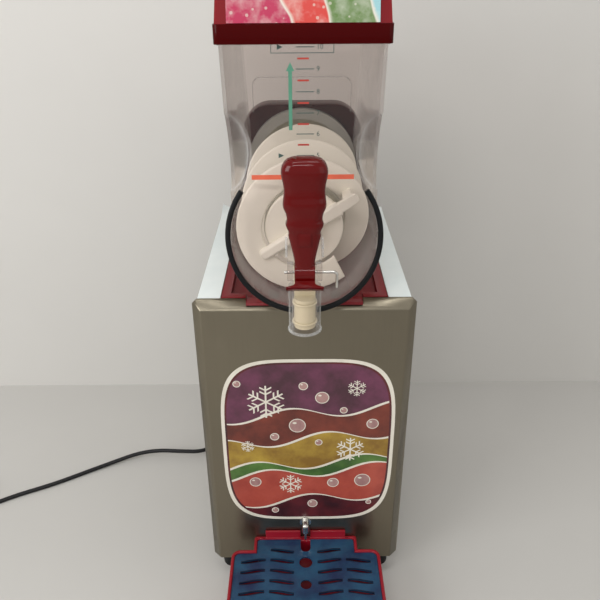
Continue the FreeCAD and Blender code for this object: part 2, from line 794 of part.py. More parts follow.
def make_bowl():
    z, y = axis_height, face_y + tap_y
    back = bowl_back - seam
    half = port_half + bridge_wall
    inside = rod(trough_radius - 1.0, (0, lean_y(port_low, seam), z), (0, back, z))
    bridge = box(-half, half, y, lean_y(port_low, 1.0), port_low - bridge_wall, port_high + bridge_above)
    pieces = [bowl_skin(), bridge.cut(inside), rod(tube_radius, (0, y, tube_low), (0, y, tube_top))]
    pieces += [make_ear(sign) for sign in (-1.0, 1.0)]
    pad_y = inner_front + seam + 2.0
    for sign in (-1.0, 1.0):
        x = sign * pad_half
        pad = box(x - pad_size / 2.0, x + pad_size / 2.0, pad_y, pad_y + pad_size, dip_top + seat_gap, z)
        pieces.append(pad.cut(rod(trough_radius - 1.0, (0, face_y - 60.0, z), (0, back, z))).common(
            box(-150.0, 150.0, pad_y, pad_y + pad_size, dip_top, z - trough_radius * 0.85)))
    bowl = fuse(pieces)
    bowl = bowl.cut(rod(tube_bore, (0, y, tube_low - 1.0), (0, y, tube_top + 1.0)))
    bowl = bowl.cut(box(-port_half, port_half, y, lean_y(port_low, bowl_wall + 3.0), port_low, port_high))
    write("bowl", bowl.cut(pin_bore(pin_radius + pin_fit)))


def pin_bore(radius):
    return rod(radius, (-60.0, face_y + pin_y, pin_z), (60.0, face_y + pin_y, pin_z))


def pin_sector(x0, x1, inner, outer, first, last):
    """A piece of a ring about the pin, between two angles from straight down, towards the back."""
    y = face_y + pin_y
    ring = pipe_ring(outer, inner, (x0, y, pin_z), (x1, y, pin_z))
    wedge = [(y, pin_z)]
    for step in range(5):
        angle = math.radians(first + (last - first) * step / 4.0)
        wedge.append((y + 3.0 * outer * math.sin(angle), pin_z - 3.0 * outer * math.cos(angle)))
    return ring.common(prism_x(wedge, x0 - 1.0, x1 + 1.0))


def make_ear(sign):
    x0, x1 = sorted((sign * ear_inside, sign * (ear_inside + ear_thick)))
    y, wall = face_y + pin_y, lean_y(ear_top, bowl_wall / 2.0)
    disc = rod(ear_radius, (x0, y, pin_z), (x1, y, pin_z))
    low_arm = box(x0, x1, y, lean_y(pin_z, bowl_wall / 2.0), pin_z - 5.5, pin_z + 5.0)
    brow = pin_z + ear_brow
    side = [(y - ear_radius, pin_z), (lean_y(pin_z, bowl_wall / 2.0), pin_z), (wall, ear_top),
            (y + ear_brow + 1.5, ear_top), (y + ear_brow, brow), (y - ear_radius + 3.0, brow)]
    ear = fuse([disc, low_arm, prism_x(side, x0, x1)])
    swept = pin_sector(x0 - 1.0, x1 + 1.0, foot_inside - foot_clear, foot_reach + foot_clear,
                       -foot_ahead - 5.0, foot_behind + pull_angle + 4.0)
    return ear.cut(swept)


def make_ring_and_gasket():
    z = axis_height
    tube = pipe_ring(ring_outside, ring_inside, (0, face_y - 80.0, z), (0, face_y + 60.0, z))
    ring = tube.common(ahead_of_front(0.0).cut(ahead_of_front(-ring_thick)))
    reach, angle = 3.0 * ring_outside, math.radians(ring_end)
    x, up = reach * math.cos(angle), reach * math.sin(angle)
    gap = [(0.0, z), (x, z + up), (0.0, z + 2.0 * reach), (-x, z + up)]
    ring = ring.cut(prism_y(gap, face_y - 100.0, face_y + 100.0))
    half = port_half + bridge_wall + seat_gap
    low = port_low - bridge_wall - seat_gap
    y = face_y + tap_y
    ring = ring.cut(rod(tube_radius + seat_gap, (0, y, tube_low - 1.0), (0, y, z)))
    write("front_ring", ring.cut(box(-half, half, face_y - 100.0, face_y + 100.0, low, z)))
    outer = trough_radius - bowl_wall - gasket_gap
    gasket = pipe_ring(outer, drum_flange + seat_gap, (0, bowl_back - gasket_length, z), (0, bowl_back, z))
    write("bowl_gasket", gasket)


# Tap
def ellipse_at(half_x, half_y, y, z):
    return Part.Wire([Part.Ellipse(vec(0, y, z), half_x, half_y).toShape()])


def make_handle():
    y = face_y + pin_y
    grip = loft([ellipse_at(half_x, half_y, y, pin_z + up) for up, half_x, half_y in handle_rows], False)
    hub_half = ear_inside - hub_side_gap
    hub = rod(handle_hub, (-hub_half, y, pin_z), (hub_half, y, pin_z))
    foot = pin_sector(-foot_width / 2.0, foot_width / 2.0, foot_inside, foot_reach, -foot_ahead, foot_behind)
    web = pin_sector(-hub_half, hub_half, handle_hub / 2.0, foot_inside + 1.0, -foot_ahead, foot_behind)
    nose_half = hub_half - 1.0
    half = nose_thick / 2.0
    nose = fuse([box(-nose_half, nose_half, y, y + nose_arm, pin_z - half, pin_z + half),
                 rod(half, (-nose_half, y + nose_arm, pin_z), (nose_half, y + nose_arm, pin_z))])
    nose.rotate(vec(0, y, pin_z), vec(1, 0, 0), -pull_angle / 2.0)
    write("tap_handle", fuse([grip, hub, web, foot, nose]).cut(pin_bore(pin_radius + pin_fit)))


def make_piston():
    y = face_y + tap_y
    angle = math.radians(pull_angle / 2.0)
    nose_y, nose_z = face_y + pin_y + nose_arm * math.cos(angle), pin_z - nose_arm * math.sin(angle)
    reach = nose_thick / 2.0 + slot_clear
    top = nose_z + reach + 3.0
    body = rod(piston_radius, (0, y, piston_low), (0, y, piston_high))
    groove = tube_bore - seal_fit - 2.0 * seal_radius - groove_gap
    for height in seal_heights:
        low, high = height - seal_radius - groove_gap, height + seal_radius + groove_gap
        body = body.cut(pipe_ring(piston_radius + 1.0, groove, (0, y, low), (0, y, high)))
    neck = rod(piston_radius, (0, y, piston_high), (0, y, top))
    neck = neck.cut(box(-20.0, 20.0, y - 20.0, nose_y + 0.1, piston_high, top + 1.0))
    slot_back = face_y + pin_y + nose_arm + nose_thick / 2.0 + seat_gap
    neck = neck.cut(box(-20.0, 20.0, y - 20.0, slot_back, nose_z - reach, nose_z + reach))
    write("piston", fuse([body, neck]))
    across = tube_bore - seal_fit - seal_radius
    seals = [Part.makeTorus(across, seal_radius, vec(0, y, height), vec(0, 0, 1)) for height in seal_heights]
    write("piston_seals", Part.makeCompound(seals))


def corner_arc(start, corner, end):
    """The arc that is tangent to both sides of a corner, and its radius."""
    a, b = start - corner, end - corner
    back = a.Length
    a.normalize()
    b.normalize()
    half = math.acos(max(-1.0, min(1.0, a.dot(b)))) / 2.0
    radius = back * math.tan(half)
    middle = corner + (a + b).normalize() * (math.sqrt(back * back + radius * radius) - radius)
    return Part.Arc(start, middle, end).toShape(), radius


def rounded_path(points, backs):
    """Straight runs joined by tangent arcs that start this far back from each corner."""
    points = [vec(*p) for p in points]
    edges, radii = [], []
    start = points[0]
    for back, before, corner, after in zip(backs, points, points[1:], points[2:]):
        p0 = corner + (before - corner).normalize() * back
        p2 = corner + (after - corner).normalize() * back
        arc, radius = corner_arc(p0, corner, p2)
        edges += [Part.LineSegment(start, p0).toShape(), arc]
        radii.append(radius)
        start = p2
    edges.append(Part.LineSegment(start, points[-1]).toShape())
    return edges, radii


def turn_backs(points, bend):
    """How far back from each corner an arc of one radius starts."""
    backs = []
    for before, corner, after in zip(points, points[1:], points[2:]):
        a, b = vec(*before) - vec(*corner), vec(*after) - vec(*corner)
        backs.append(bend / math.tan(a.getAngle(b) / 2.0))
    return backs


def bent_tube(points, radius, bend):
    """A round bar along straight runs joined by tangent arcs of one radius."""
    return tube_along(rounded_path(points, turn_backs(points, bend))[0], radius)


def tube_along(edges, radius):
    path = Part.Wire(edges)
    first = edges[0]
    tangent = first.tangentAt(first.FirstParameter)
    circle = Part.Wire([Part.Circle(first.valueAt(first.FirstParameter), tangent, radius).toShape()])
    return path.makePipeShell([circle], True, False)


def make_pin():
    y = face_y + pin_y
    left = -(ear_inside + ear_thick + pin_left)
    wire = bent_tube([(left, y, pin_z), (pin_right, y, pin_z), (pin_right, y, pin_z - pin_drop)],
                     pin_radius, pin_bend)
    write("hinge_pin", wire)


def lid_profile(inset):
    """Side view of the lid above its rim: a straight front, a round crown and a steep back."""
    front = lean_y(hopper_top) - lid_ahead + crown_step + inset
    back = bowl_back + lid_behind - crown_step - inset
    top, shoulder = lid_top - inset, rim_top + crown_shoulder
    a, b = vec(0, front, rim_top), vec(0, front + 8.0, shoulder)
    c, d = vec(0, front + 62.0, top - 6.0), vec(0, back - 50.0, top - 6.0)
    e, f = vec(0, back - 5.0, shoulder), vec(0, back, rim_top)
    curves = [Part.LineSegment(a, b), Part.Arc(b, vec(0, front + 24.0, top - 24.0), c),
              Part.Arc(c, vec(0, (c.y + d.y) / 2.0, top), d),
              Part.Arc(d, vec(0, back - 17.0, top - 24.0), e),
              Part.LineSegment(e, f), Part.LineSegment(f, a)]
    return [curve.toShape() for curve in curves]


def lid_block(inset, half):
    face = Part.Face(Part.Wire(lid_profile(inset)))
    face.translate(vec(-half, 0, 0))
    return face.extrude(vec(2.0 * half, 0, 0))


def lid_crown(inset):
    """The lid above its rim, drawn in by an inset, with sides that lean in."""
    half, high = lid_half - crown_step - inset, lid_top + 5.0
    crown = lid_block(inset, half)
    for sign in (-1.0, 1.0):
        side = [(sign * half, rim_top), (sign * 2.0 * half, rim_top), (sign * 2.0 * half, high),
                (sign * (half - lid_side_lean), high)]
        crown = crown.cut(prism_y(side, face_y - 50.0, rear_y + 50.0))
    return crown


def lid_rim_box(inset, z0, z1):
    front, back = lean_y(hopper_top) - lid_ahead + inset, bowl_back + lid_behind - inset
    shape = box(-lid_half + inset, lid_half - inset, front, back, z0, z1)
    return shape.makeFillet(lid_corner - inset, long_edges(shape, 2))


def make_lid():
    rim = lid_rim_box(0.0, lid_low, rim_top)
    hollow = lid_rim_box(rim_wall, lid_low - 1.0, rim_top - rim_wall)
    room = lid_crown(rim_wall)
    below = room.copy()
    below.translate(vec(0, 0, -rim_wall - 1.0))
    frame = rim.cut(hollow).fuse(lid_crown(0.0)).cut(room).cut(below)
    write("lid_frame", frame.removeSplitter())
    skin = lid_block(-sheet_thick, sheet_half).cut(lid_block(0.0, sheet_half + 1.0))
    low_edge = box(-200.0, 200.0, face_y - 50.0, rear_y + 50.0, lid_low, rim_top + 1.0)
    write("lid_sheet", skin.cut(low_edge))
    top = lid_base_top
    write("lid_base", lid_rim_box(rim_wall + 0.1, top - lid_base_thick, top))
    front, back = lean_y(hopper_top) + board_short, bowl_back - board_short
    board = box(-board_half, board_half, front, back, top, top + board_thick)
    low, high = top + board_thick, top + board_thick + lamp_height
    lamps = []
    for count in range(int((back - front) / lamp_pitch)):
        y = front + lamp_pitch * (count + 0.8)
        lamps += [rod(lamp_radius, (x, y, low), (x, y, high)) for x in (-40.0, 0.0, 40.0)]
    write("lamp_board", fuse([board] + lamps))


# Drip tray
def tongue(sign, gap):
    x0 = sign * tongue_centre - tongue_width / 2.0
    x1 = x0 + tongue_width
    top = tray_top - tongue_below
    return box(x0 - gap, x1 + gap, face_y - 2.0, face_y + tongue_reach, top - tongue_height - gap, top + gap)


def tray_outline(inset, z0, z1):
    front, back = face_y - tray_reach + inset, face_y - seam - inset
    shoulder = face_y - tray_neck - inset
    half, neck = tray_half - inset, tray_neck_half - inset
    wide = box(-half, half, front, shoulder, z0, z1)
    wide = wide.makeFillet(tray_corner - inset, long_edges(wide, 2))
    narrow = box(-neck, neck, shoulder - 2.0 * tray_corner, back, z0, z1)
    rear = [edge for edge in long_edges(narrow, 2) if edge.CenterOfMass.y > shoulder]
    narrow = narrow.makeFillet(4.0, rear)
    return wide.fuse(narrow).removeSplitter()


def make_tray():
    low = tray_top - tray_depth
    seat = tray_top - grille_recess - grille_thick
    tray = tray_outline(0.0, low, tray_top)
    tray = tray.cut(tray_outline(1.4 * tray_wall, low + tray_floor, tray_top + 1.0))
    tray = tray.cut(tray_outline(tray_wall, seat, tray_top + 1.0))
    back = face_y - seam
    high = tray_top + ledge_height
    ledge = box(-ledge_half, ledge_half, back - ledge_thick, back, tray_top - 10.0, high)
    notch = box(-ledge_notch, ledge_notch, back - 10.0, back + 1.0, tray_top, high + 1.0)
    tray = tray.fuse(ledge).cut(notch)
    write("drip_tray", fuse([tray, tongue(-1.0, 0.0), tongue(1.0, 0.0)]))


def wavy_slot(x0, x1, y, rise, z0, z1):
    """A slot that climbs across its length in a soft wave, narrow at both ends."""
    half, steps = slot_width / 2.0, 6
    rear_side, front_side = [], []
    for step in range(steps + 1):
        share = step / steps
        x, shift = x0 + (x1 - x0) * share, y + rise * math.sin(math.pi * (share - 0.5)) / 2.0
        taper = half * (0.45 + 0.55 * math.sin(math.pi * share))
        rear_side.append(vec(x, shift + taper, z0))
        front_side.append(vec(x, shift - taper, z0))
    edges = []
    for side in (rear_side, front_side[::-1]):
        curve = Part.BSplineCurve()
        curve.interpolate(side)
        edges.append(curve.toShape())
    edges.insert(1, Part.LineSegment(rear_side[-1], front_side[-1]).toShape())
    edges.append(Part.LineSegment(front_side[0], rear_side[0]).toShape())
    return Part.Face(Part.Wire(edges)).extrude(vec(0, 0, z1 - z0))


def make_grille():
    low = tray_top - grille_recess - grille_thick
    z0, z1 = low - 1.0, low + grille_thick + 1.0
    plate = tray_outline(tray_wall + grille_gap, low, low + grille_thick)
    notch_y = face_y - 20.0
    cuts = [box(-ledge_notch, ledge_notch, notch_y, face_y, z0, z1).fuse(
        rod(ledge_notch, (0, notch_y, z0), (0, notch_y, z1)))]
    for row in range(-1, slot_rows):
        columns = slot_columns if row >= 0 else slot_columns[1:3]
        for x0, x1 in columns:
            rise = slot_rise if x0 in (slot_columns[0][0], slot_columns[2][0]) else -slot_rise
            cuts.append(wavy_slot(x0, x1, face_y - slot_first - row * slot_pitch, rise, z0, z1))
    for ahead, radius in drip_holes:
        cuts.append(rod(radius, (0, face_y - ahead, z0), (0, face_y - ahead, z1)))
    write("drip_grille", plate.cut(Part.makeCompound(cuts)))


def make_spout_and_hose():
    y, z = face_y, spout_height
    front = y - spout_reach
    low = z - spout_drop
    run = rod(spout_radius, (0, front, z), (0, y + spout_inside, z))
    knee = Part.makeSphere(spout_radius, vec(0, front, z))
    drop = rod(spout_radius, (0, front, low + 3.0), (0, front, z))
    tip = Part.makeCone(2.0, spout_radius, 3.0, vec(0, front, low))
    tail = rod(spout_radius / 3.0, (0, front, low - spout_tip), (0, front, low + 1.0))
    collar = rod(spout_radius + 3.2, (0, y - 2.0, z), (0, y, z))
    spout = fuse([run, knee, drop, tip, tail, collar])
    bore = rod(spout_radius - 1.6, (0, y - 4.0, z), (0, y + spout_inside + 1.0, z))
    write("drain_spout", spout.cut(bore))
    start, down = y + 4.5, y + hose_y
    hose = bent_tube([(0, start, z), (0, down, z), (0, down, deck_low)], hose_radius, hose_bend)
    bore = [(0, start - 5.0, z), (0, down, z), (0, down, deck_low + 2.0)]
    core = bent_tube(bore, spout_radius + 0.1, hose_bend)
    write("drain_hose", hose.cut(core))


# Refrigeration
def compressor_can():
    y, low, high = face_y + comp_y, comp_low, comp_high - comp_crown
    can = rod(comp_radius, (comp_x, y, low + 20.0), (comp_x, y, high))
    crown = Part.makeCone(comp_radius, comp_radius * 0.55, comp_crown, vec(comp_x, y, high))
    base = Part.makeCone(comp_radius * 0.6, comp_radius, 20.0, vec(comp_x, y, low))
    return fuse([can, crown, base])


def make_compressor():
    y, r = face_y + comp_y, comp_radius
    half = r + 4.0
    weld = rod(r + 2.0, (comp_x, y, comp_low + 74.0), (comp_x, y, comp_low + 79.0))
    plate = box(comp_x - half, comp_x + half, y - half, y + half, comp_low - comp_foot, comp_low + 0.5)
    relay = box(comp_x - 18.0, comp_x + 18.0, y - r - 12.0, y - r + 8.0, comp_low + 60.0, comp_low + 100.0)
    write("compressor", fuse([compressor_can(), weld, plate, relay]))
    mounts = [rod(mount_radius, (comp_x + side * (r - 6.0), y + end * (r - 6.0), pan_floor),
                  (comp_x + side * (r - 6.0), y + end * (r - 6.0), comp_low - comp_foot))
              for side in (-1.0, 1.0) for end in (-1.0, 1.0)]
    write("compressor_mounts", Part.makeCompound(mounts))


def make_condenser():
    x0, x1 = cond_near, cond_near + cond_thick
    y0, y1 = face_y + cond_front + 4.0, face_y + cond_back - 4.0
    core = box(x0 + 2.0, x1 - 2.0, y0, y1, pan_floor + 12.0, cond_top - 2.0)
    for row in range(cond_rows):
        z = pan_floor + 24.0 + row * cond_pitch
        for x in (x0, x1 - 5.0):
            core = core.cut(box(x, x + 5.0, y0 + 4.0, y1 - 4.0, z, z + 6.0))
    ends = [box(x0, x1, y, y + 2.0, pan_floor, cond_top) for y in (y0, y1 - 2.0)]
    bends = []
    for row in range(4):
        z = pan_floor + 30.0 + row * 46.0
        for y, far in ((y0, y0 - 16.0), (y1, y1 + 16.0)):
            arch = Part.makeTorus(cond_bend, pipe_radius, vec((x0 + x1) / 2.0, y, z), vec(1, 0, 0))
            bends.append(arch.common(box(x0, x1, min(y, far), max(y, far), z - 20.0, z + 20.0)))
    write("condenser", fuse([core] + ends + bends))


def make_fan():
    x1, x0 = cond_near, cond_near - shroud_thick
    y, z = face_y + fan_y, fan_z
    y0, y1 = face_y + cond_front, face_y + cond_back
    opening = rod(fan_hole, (x0 - 2.0, y, z), (x1 + 1.0, y, z))
    collar = rod(fan_hole + 3.0, (x0 - 2.0, y, z), (x1 + 1.0, y, z))
    recess = box(x0 - 1.0, x1 - 1.5, y0 + 3.0, y1 - 3.0, pan_floor + 3.0, cond_top - 3.0).cut(collar)
    plate = box(x0, x1, y0, y1, pan_floor, cond_top)
    write("fan_shroud", plate.cut(opening).cut(recess))
    near = bracket_x + bracket_thick
    far = near + fan_motor_length
    blade_x0, blade_x1 = far + 3.0, x0 - 3.0
    can = rod(fan_motor_radius, (near, y, z), (far, y, z))
    boss = rod(12.0, (far, y, z), (far + 2.5, y, z))
    shaft = rod(fan_shaft, (far, y, z), (blade_x1 - 1.0, y, z))
    write("fan_motor", fuse([can, boss, shaft]))
    middle, half_span = (blade_x0 + blade_x1) / 2.0, (blade_x1 - blade_x0) / 2.0
    blades = []
    for turn in range(fan_blades):
        blade = box(-1.0, 1.0, -22.0, 22.0, fan_hub - 4.0, fan_radius)
        blade.rotate(vec(0, 0, 0), vec(0, 0, 1), fan_twist)
        blade = blade.common(box(-half_span, half_span, -60.0, 60.0, 0.0, fan_radius + 1.0))
        blade.rotate(vec(0, 0, 0), vec(1, 0, 0), 360.0 / fan_blades * turn)
        blade.translate(vec(middle, y, z))
        blades.append(blade)
    rotor = fuse([rod(fan_hub, (blade_x0, y, z), (blade_x1, y, z))] + blades)
    rotor = rotor.common(rod(fan_radius, (blade_x0 - 1.0, y, z), (blade_x1 + 1.0, y, z)))
    write("fan_blade", rotor.cut(rod(fan_shaft + bush_fit, (blade_x0 - 1.0, y, z), (blade_x1 - 0.9, y, z))))
    half, x = bracket_half, bracket_x
    stand = box(x, near, y - half, y + half, pan_floor, z + fan_motor_radius + 6.0)
    foot = box(x, x + bracket_foot, y - half, y + half, pan_floor, pan_floor + bracket_thick)
    write("fan_bracket", fuse([stand, foot]))


def make_lines():
    x, y = -side_in + drier_radius + 0.6, face_y + drier_y
    body = rod(drier_radius, (x, y, drier_low), (x, y, drier_high))
    low_cone = Part.makeCone(pipe_radius, drier_radius, drier_cone, vec(x, y, drier_low - drier_cone))
    high_cone = Part.makeCone(drier_radius, capillary_radius, drier_cone, vec(x, y, drier_high))
    write("filter_drier", fuse([body, low_cone, high_cone]))
    (suction_x, suction_z, suction_r), (fine_x, fine_z, fine_r) = pipe_spots()
    comp, back = face_y + comp_y, bowl_back
    down, over = back + line_drop, suction_height
    inlet_x = comp_x - comp_radius / 3.0
    suction = [(suction_x, back, suction_z), (suction_x, down, suction_z), (suction_x, down, over),
               (inlet_x, comp, over), (inlet_x, comp, comp_high - comp_crown / 2.0)]
    can = compressor_can()
    write("suction_pipe", bent_tube(suction, suction_r, 9.0).cut(can))
    down, over = back + line_drop / 2.0, capillary_height
    fine = [(fine_x, back, fine_z), (fine_x, down, fine_z), (fine_x, down, over),
            (x, y, over), (x, y, drier_high + drier_cone)]
    write("capillary_tube", bent_tube(fine, fine_r, 6.0))
    out_x, out_y = comp_x + discharge_side, comp + comp_radius / 3.0
    over = cond_top + discharge_over
    core_x = cond_near + cond_thick / 2.0
    discharge = [(out_x, out_y, comp_high - 40.0), (out_x, out_y, over), (core_x, out_y, over),
                 (core_x, out_y, cond_top - 2.0)]
    write("discharge_pipe", bent_tube(discharge, pipe_radius, pipe_bend).cut(can))
    low, near = pan_floor + 8.0, face_y + cond_front - 18.0
    liquid = [(cond_near + 8.0, face_y + cond_front + 4.0, low), (cond_near + 8.0, near, low),
              (x, near, low), (x, y, low), (x, y, drier_low - drier_cone)]
    write("liquid_pipe", bent_tube(liquid, pipe_radius, pipe_bend))


# Electrical
def switch_pocket(x0, gap):
    """The switch plate's opening in the right side, or what fills it with a gap all round."""
    half_y, half_z = plate_width / 2.0 - plate_edge - gap, plate_height / 2.0 - plate_edge - gap
    y = face_y + switch_y
    return box(x0, side_x, y - half_y, y + half_y, switch_z - half_z, switch_z + half_z)


def make_switches():
    y = face_y + switch_y
    half_y, half_z = plate_width / 2.0, plate_height / 2.0
    front = side_x + plate_thick
    plate = box(side_x, front, y - half_y, y + half_y, switch_z - half_z, switch_z + half_z)
    plate = plate.fuse(switch_pocket(side_x - rocker_depth - 10.0, seam))
    pivot = side_x - 2.0
    room_y, room_z = rocker_half_y + rocker_gap, rocker_half_z + rocker_gap + 1.0
    top = front + rocker_proud
    spots = (("power_switch", switch_z + switch_pitch), ("cooling_switch", switch_z),
             ("lamp_switch", switch_z - switch_pitch))
    for name, z in spots:
        plate = plate.cut(box(side_x - rocker_depth - 4.0, top, y - room_y, y + room_y,
                              z - room_z, z + room_z))
        cap = box(side_x - rocker_depth, top, y - rocker_half_y, y + rocker_half_y,
                  z - rocker_half_z, z + rocker_half_z)
        dish_x = top + rocker_dish - 1.4
        cap = cap.cut(rod(rocker_dish, (dish_x, y - 20.0, z), (dish_x, y + 20.0, z)))
        cap = cap.fuse(rod(axle_radius, (pivot, y - room_y + 0.1, z), (pivot, y + room_y - 0.1, z)))
        cap.rotate(vec(pivot, y, z), vec(0, 1, 0), rocker_tilt)
        write(name, cap)
    write("switch_plate", plate.removeSplitter())


def make_control_box():
    front = face_y + control_front
    back = front + control_depth
    case = box(-side_in, -side_in + control_thick, front, back, control_low, control_high)
    lid_line = box(-side_in + control_thick - 4.0, -side_in + control_thick + 1.0, front - 1.0, back + 1.0,
                   control_low + 3.0, control_low + 4.0)
    write("control_box", case.cut(lid_line))


def make_strain_relief():
    x, z = relief_x, relief_z
    inner = rod(relief_radius - 0.2, (x, rear_y - 4.0, z), (x, rear_y + 1.0, z))
    collar = rod(relief_radius + 2.0, (x, rear_y, z), (x, rear_y + 3.0, z))
    sleeve = Part.makeCone(relief_radius - 0.5, cord_radius + 1.5, relief_length - 3.0,
                           vec(x, rear_y + 3.0, z), vec(0, 1, 0))
    relief = fuse([inner, collar, sleeve])
    for ring in range(2):
        y = rear_y + 4.5 + ring * 3.0
        relief = relief.cut(pipe_ring(20.0, cord_radius + 1.2, (x, y, z), (x, y + 1.2, z)))
    write("strain_relief", relief)


# Mains cord: points chosen by hand, from the strain relief to the coil
def cord_points():
    start = (relief_x, rear_y + relief_length, relief_z)
    return [start] + [(x, face_y + y, z) for x, y, z in (
        (-85.0, 383.0, 62.0), (-110.0, 411.0, 57.0), (-148.0, 412.0, 48.0), (-174.0, 384.0, 37.0),
        (-174.0, 345.0, 26.0), (-159.0, 309.0, 18.5), (-162.0, 277.0, 15.0), (-186.0, 258.0, 13.5),
        (-226.0, 256.0, 16.5), (-268.0, 260.0, 16.0), (-306.0, 256.5, 11.5), (-346.0, 241.0, 5.5),
        (-390.0, 217.0, 3.5), (-438.0, 187.0, 3.5), (-500.0, 158.0, 3.5), (-556.0, 120.0, 3.5))]


def make_cord():
    points = cord_points()
    runs = [(vec(*b) - vec(*a)).Length for a, b in zip(points, points[1:])]
    backs = [0.45 * min(pair) for pair in zip(runs, runs[1:])]
    edges, radii = rounded_path(points, backs)
    cord = tube_along(edges, cord_radius)
    length = sum(edge.Length for edge in edges)
    ideal = math.pi * cord_radius ** 2 * length
    print("cord runs", [round(run) for run in runs], "radii", [round(radius) for radius in radii])
    print("cord length %.0f mm, volume %.0f of %.0f mm3" % (length, cord.Volume, ideal))
    write("power_cord", cord)


def coil_at(turned):
    """A point of the coil and its direction there, after turning so far, in radians."""
    rate = coil_pitch / (2.0 * math.pi)
    down = 2.0 * math.pi * coil_turns[0]
    reverse = down + math.pi / 2.0
    outer = coil_inner + rate * reverse
    last, before = vec(*cord_points()[-1]), vec(*cord_points()[-2])
    lead = vec(last.x - before.x, last.y - before.y, 0.0).normalize()
    first_angle = math.atan2(lead.y, lead.x) + math.pi / 2.0 + math.atan(rate / outer)
    begin = last + lead * (2.0 * cord_radius)
    centre = begin - vec(math.cos(first_angle), math.sin(first_angle), 0.0) * outer
    past = turned - reverse
    radius = coil_inner + rate * abs(past)
    growth = 0.0 if abs(past) < 0.001 else math.copysign(rate, past)
    rise = min(1.0, max(0.0, (turned - down) / math.pi))
    height = coil_pitch * (1.0 - math.cos(math.pi * rise)) / 2.0
    climb = coil_pitch / 2.0 * math.sin(math.pi * rise)
    angle = first_angle - turned
    out, along = vec(math.cos(angle), math.sin(angle), 0), vec(math.sin(angle), -math.cos(angle), 0)
    point = centre + out * radius + vec(0, 0, height)
    return point, (out * growth + along * radius + vec(0, 0, climb)).normalize()


def coil_steps():
    """Quarter turns down, over and up again."""
    down, up = (2.0 * math.pi * turns for turns in coil_turns)
    marks = [0.0]
    for stretch in (down, math.pi, up):
        count = math.ceil(stretch / (math.pi / 2.0) - 0.001)
        begin = marks[-1]
        marks += [begin + stretch * (k + 1) / count for k in range(count)]
    return marks


def biarc(p0, t0, p1, t1):
    """Two tangent arcs from one point and direction to the next."""
    v, t = p1 - p0, t0 + t1
    a, b, c = 2.0 * t0.dot(t1) - 2.0, -2.0 * v.dot(t), v.dot(v)
    reach = (-b - math.sqrt(b * b - 4.0 * a * c)) / (2.0 * a)
    c0, c1 = p0 + t0 * reach, p1 - t1 * reach
    joint = (c0 + c1) / 2.0
    return [corner_arc(p0, c0, joint)[0], corner_arc(joint, c1, p1)[0]]


def least_coil_gap():
    """The coil's least gap to itself, measured on points half a turn or more apart."""
    marks = coil_steps()
    fine = math.radians(5.0)
    places = [coil_at(fine * k)[0] for k in range(int(marks[-1] / fine) + 1)]
    apart = int(math.pi / fine)
    gaps = [(q - p).Length for k, p in enumerate(places) for q in places[k + apart:]]
    return min(gaps) - 2.0 * cord_radius


def make_coil():
    frames = [coil_at(mark) for mark in coil_steps()]
    edges = [Part.LineSegment(vec(*cord_points()[-1]), frames[0][0]).toShape()]
    for (p0, t0), (p1, t1) in zip(frames, frames[1:]):
        edges += biarc(p0, t0, p1, t1)
    point, heading = frames[-1]
    end = point + heading * coil_tail
    edges.append(Part.LineSegment(point, end).toShape())
    coil = tube_along(edges, cord_radius)
    length = sum(edge.Length for edge in edges)
    ideal = math.pi * cord_radius ** 2 * length
    print("coil length %.0f mm, volume %.0f of %.0f mm3" % (length, coil.Volume, ideal))
    print("coil least gap %.2f mm, outside radius %.1f mm" % (least_coil_gap(), coil_outside()))
    write("cord_coil", coil)
    return end, heading


def coil_outside():
    return coil_inner + coil_pitch * (coil_turns[0] + 0.25) + cord_radius


def make_plug(end, heading):
    """A moulded plug with two blades and an earth pin, drawn along +X and then turned."""
    half = cord_radius + coil_pitch
    neck = Part.makeCone(cord_radius + 1.0, cord_radius + 4.0, plug_neck, vec(0, 0, 0), vec(1, 0, 0))
    for ring in range(5):
        x = 3.0 + 3.6 * ring
        neck = neck.cut(pipe_ring(half + 5.0, cord_radius + 0.9 + 0.11 * x, (x, 0, 0), (x + 1.6, 0, 0)))
    x0, x1 = plug_neck - 1.0, plug_neck + plug_length
    body = box(x0, x1, -plug_half_width, plug_half_width, -half, half)
    body = body.makeChamfer(2.5, long_edges(body, 0))
    blades = [box(x1 - 1.0, x1 + blade_reach, sign * blade_apart - 0.75, sign * blade_apart + 0.75, 0.5, 6.8)
              for sign in (-1.0, 1.0)]
    earth = rod(2.4, (x1 - 1.0, 0, 3.65 - earth_below), (x1 + blade_reach + 2.0, 0, 3.65 - earth_below))
    plug = fuse([neck, body, earth] + blades)
    plug.rotate(vec(0, 0, 0), vec(0, 0, 1), math.degrees(math.atan2(heading.y, heading.x)))
    plug.translate(end)
    write("mains_plug", plug)


def main():
    make_feet()
    make_base_pan()
    make_front_panel()
    make_side_panels()
    make_rear_panel()
    make_deck()
    make_rear_housing()
    make_knob()
    make_evaporator()
    make_drive()
    make_auger()
    make_bowl()
    make_ring_and_gasket()
    make_handle()
    make_pin()
    make_piston()
    make_lid()
    make_tray()
    make_grille()
    make_spout_and_hose()
    make_compressor()
    make_condenser()
    make_fan()
    make_lines()
    make_switches()
    make_control_box()
    make_strain_relief()
    make_cord()
    end, heading = make_coil()
    make_plug(end, heading)


main()
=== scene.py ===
import math

import bmesh
import bpy
from mathutils import Matrix, Vector


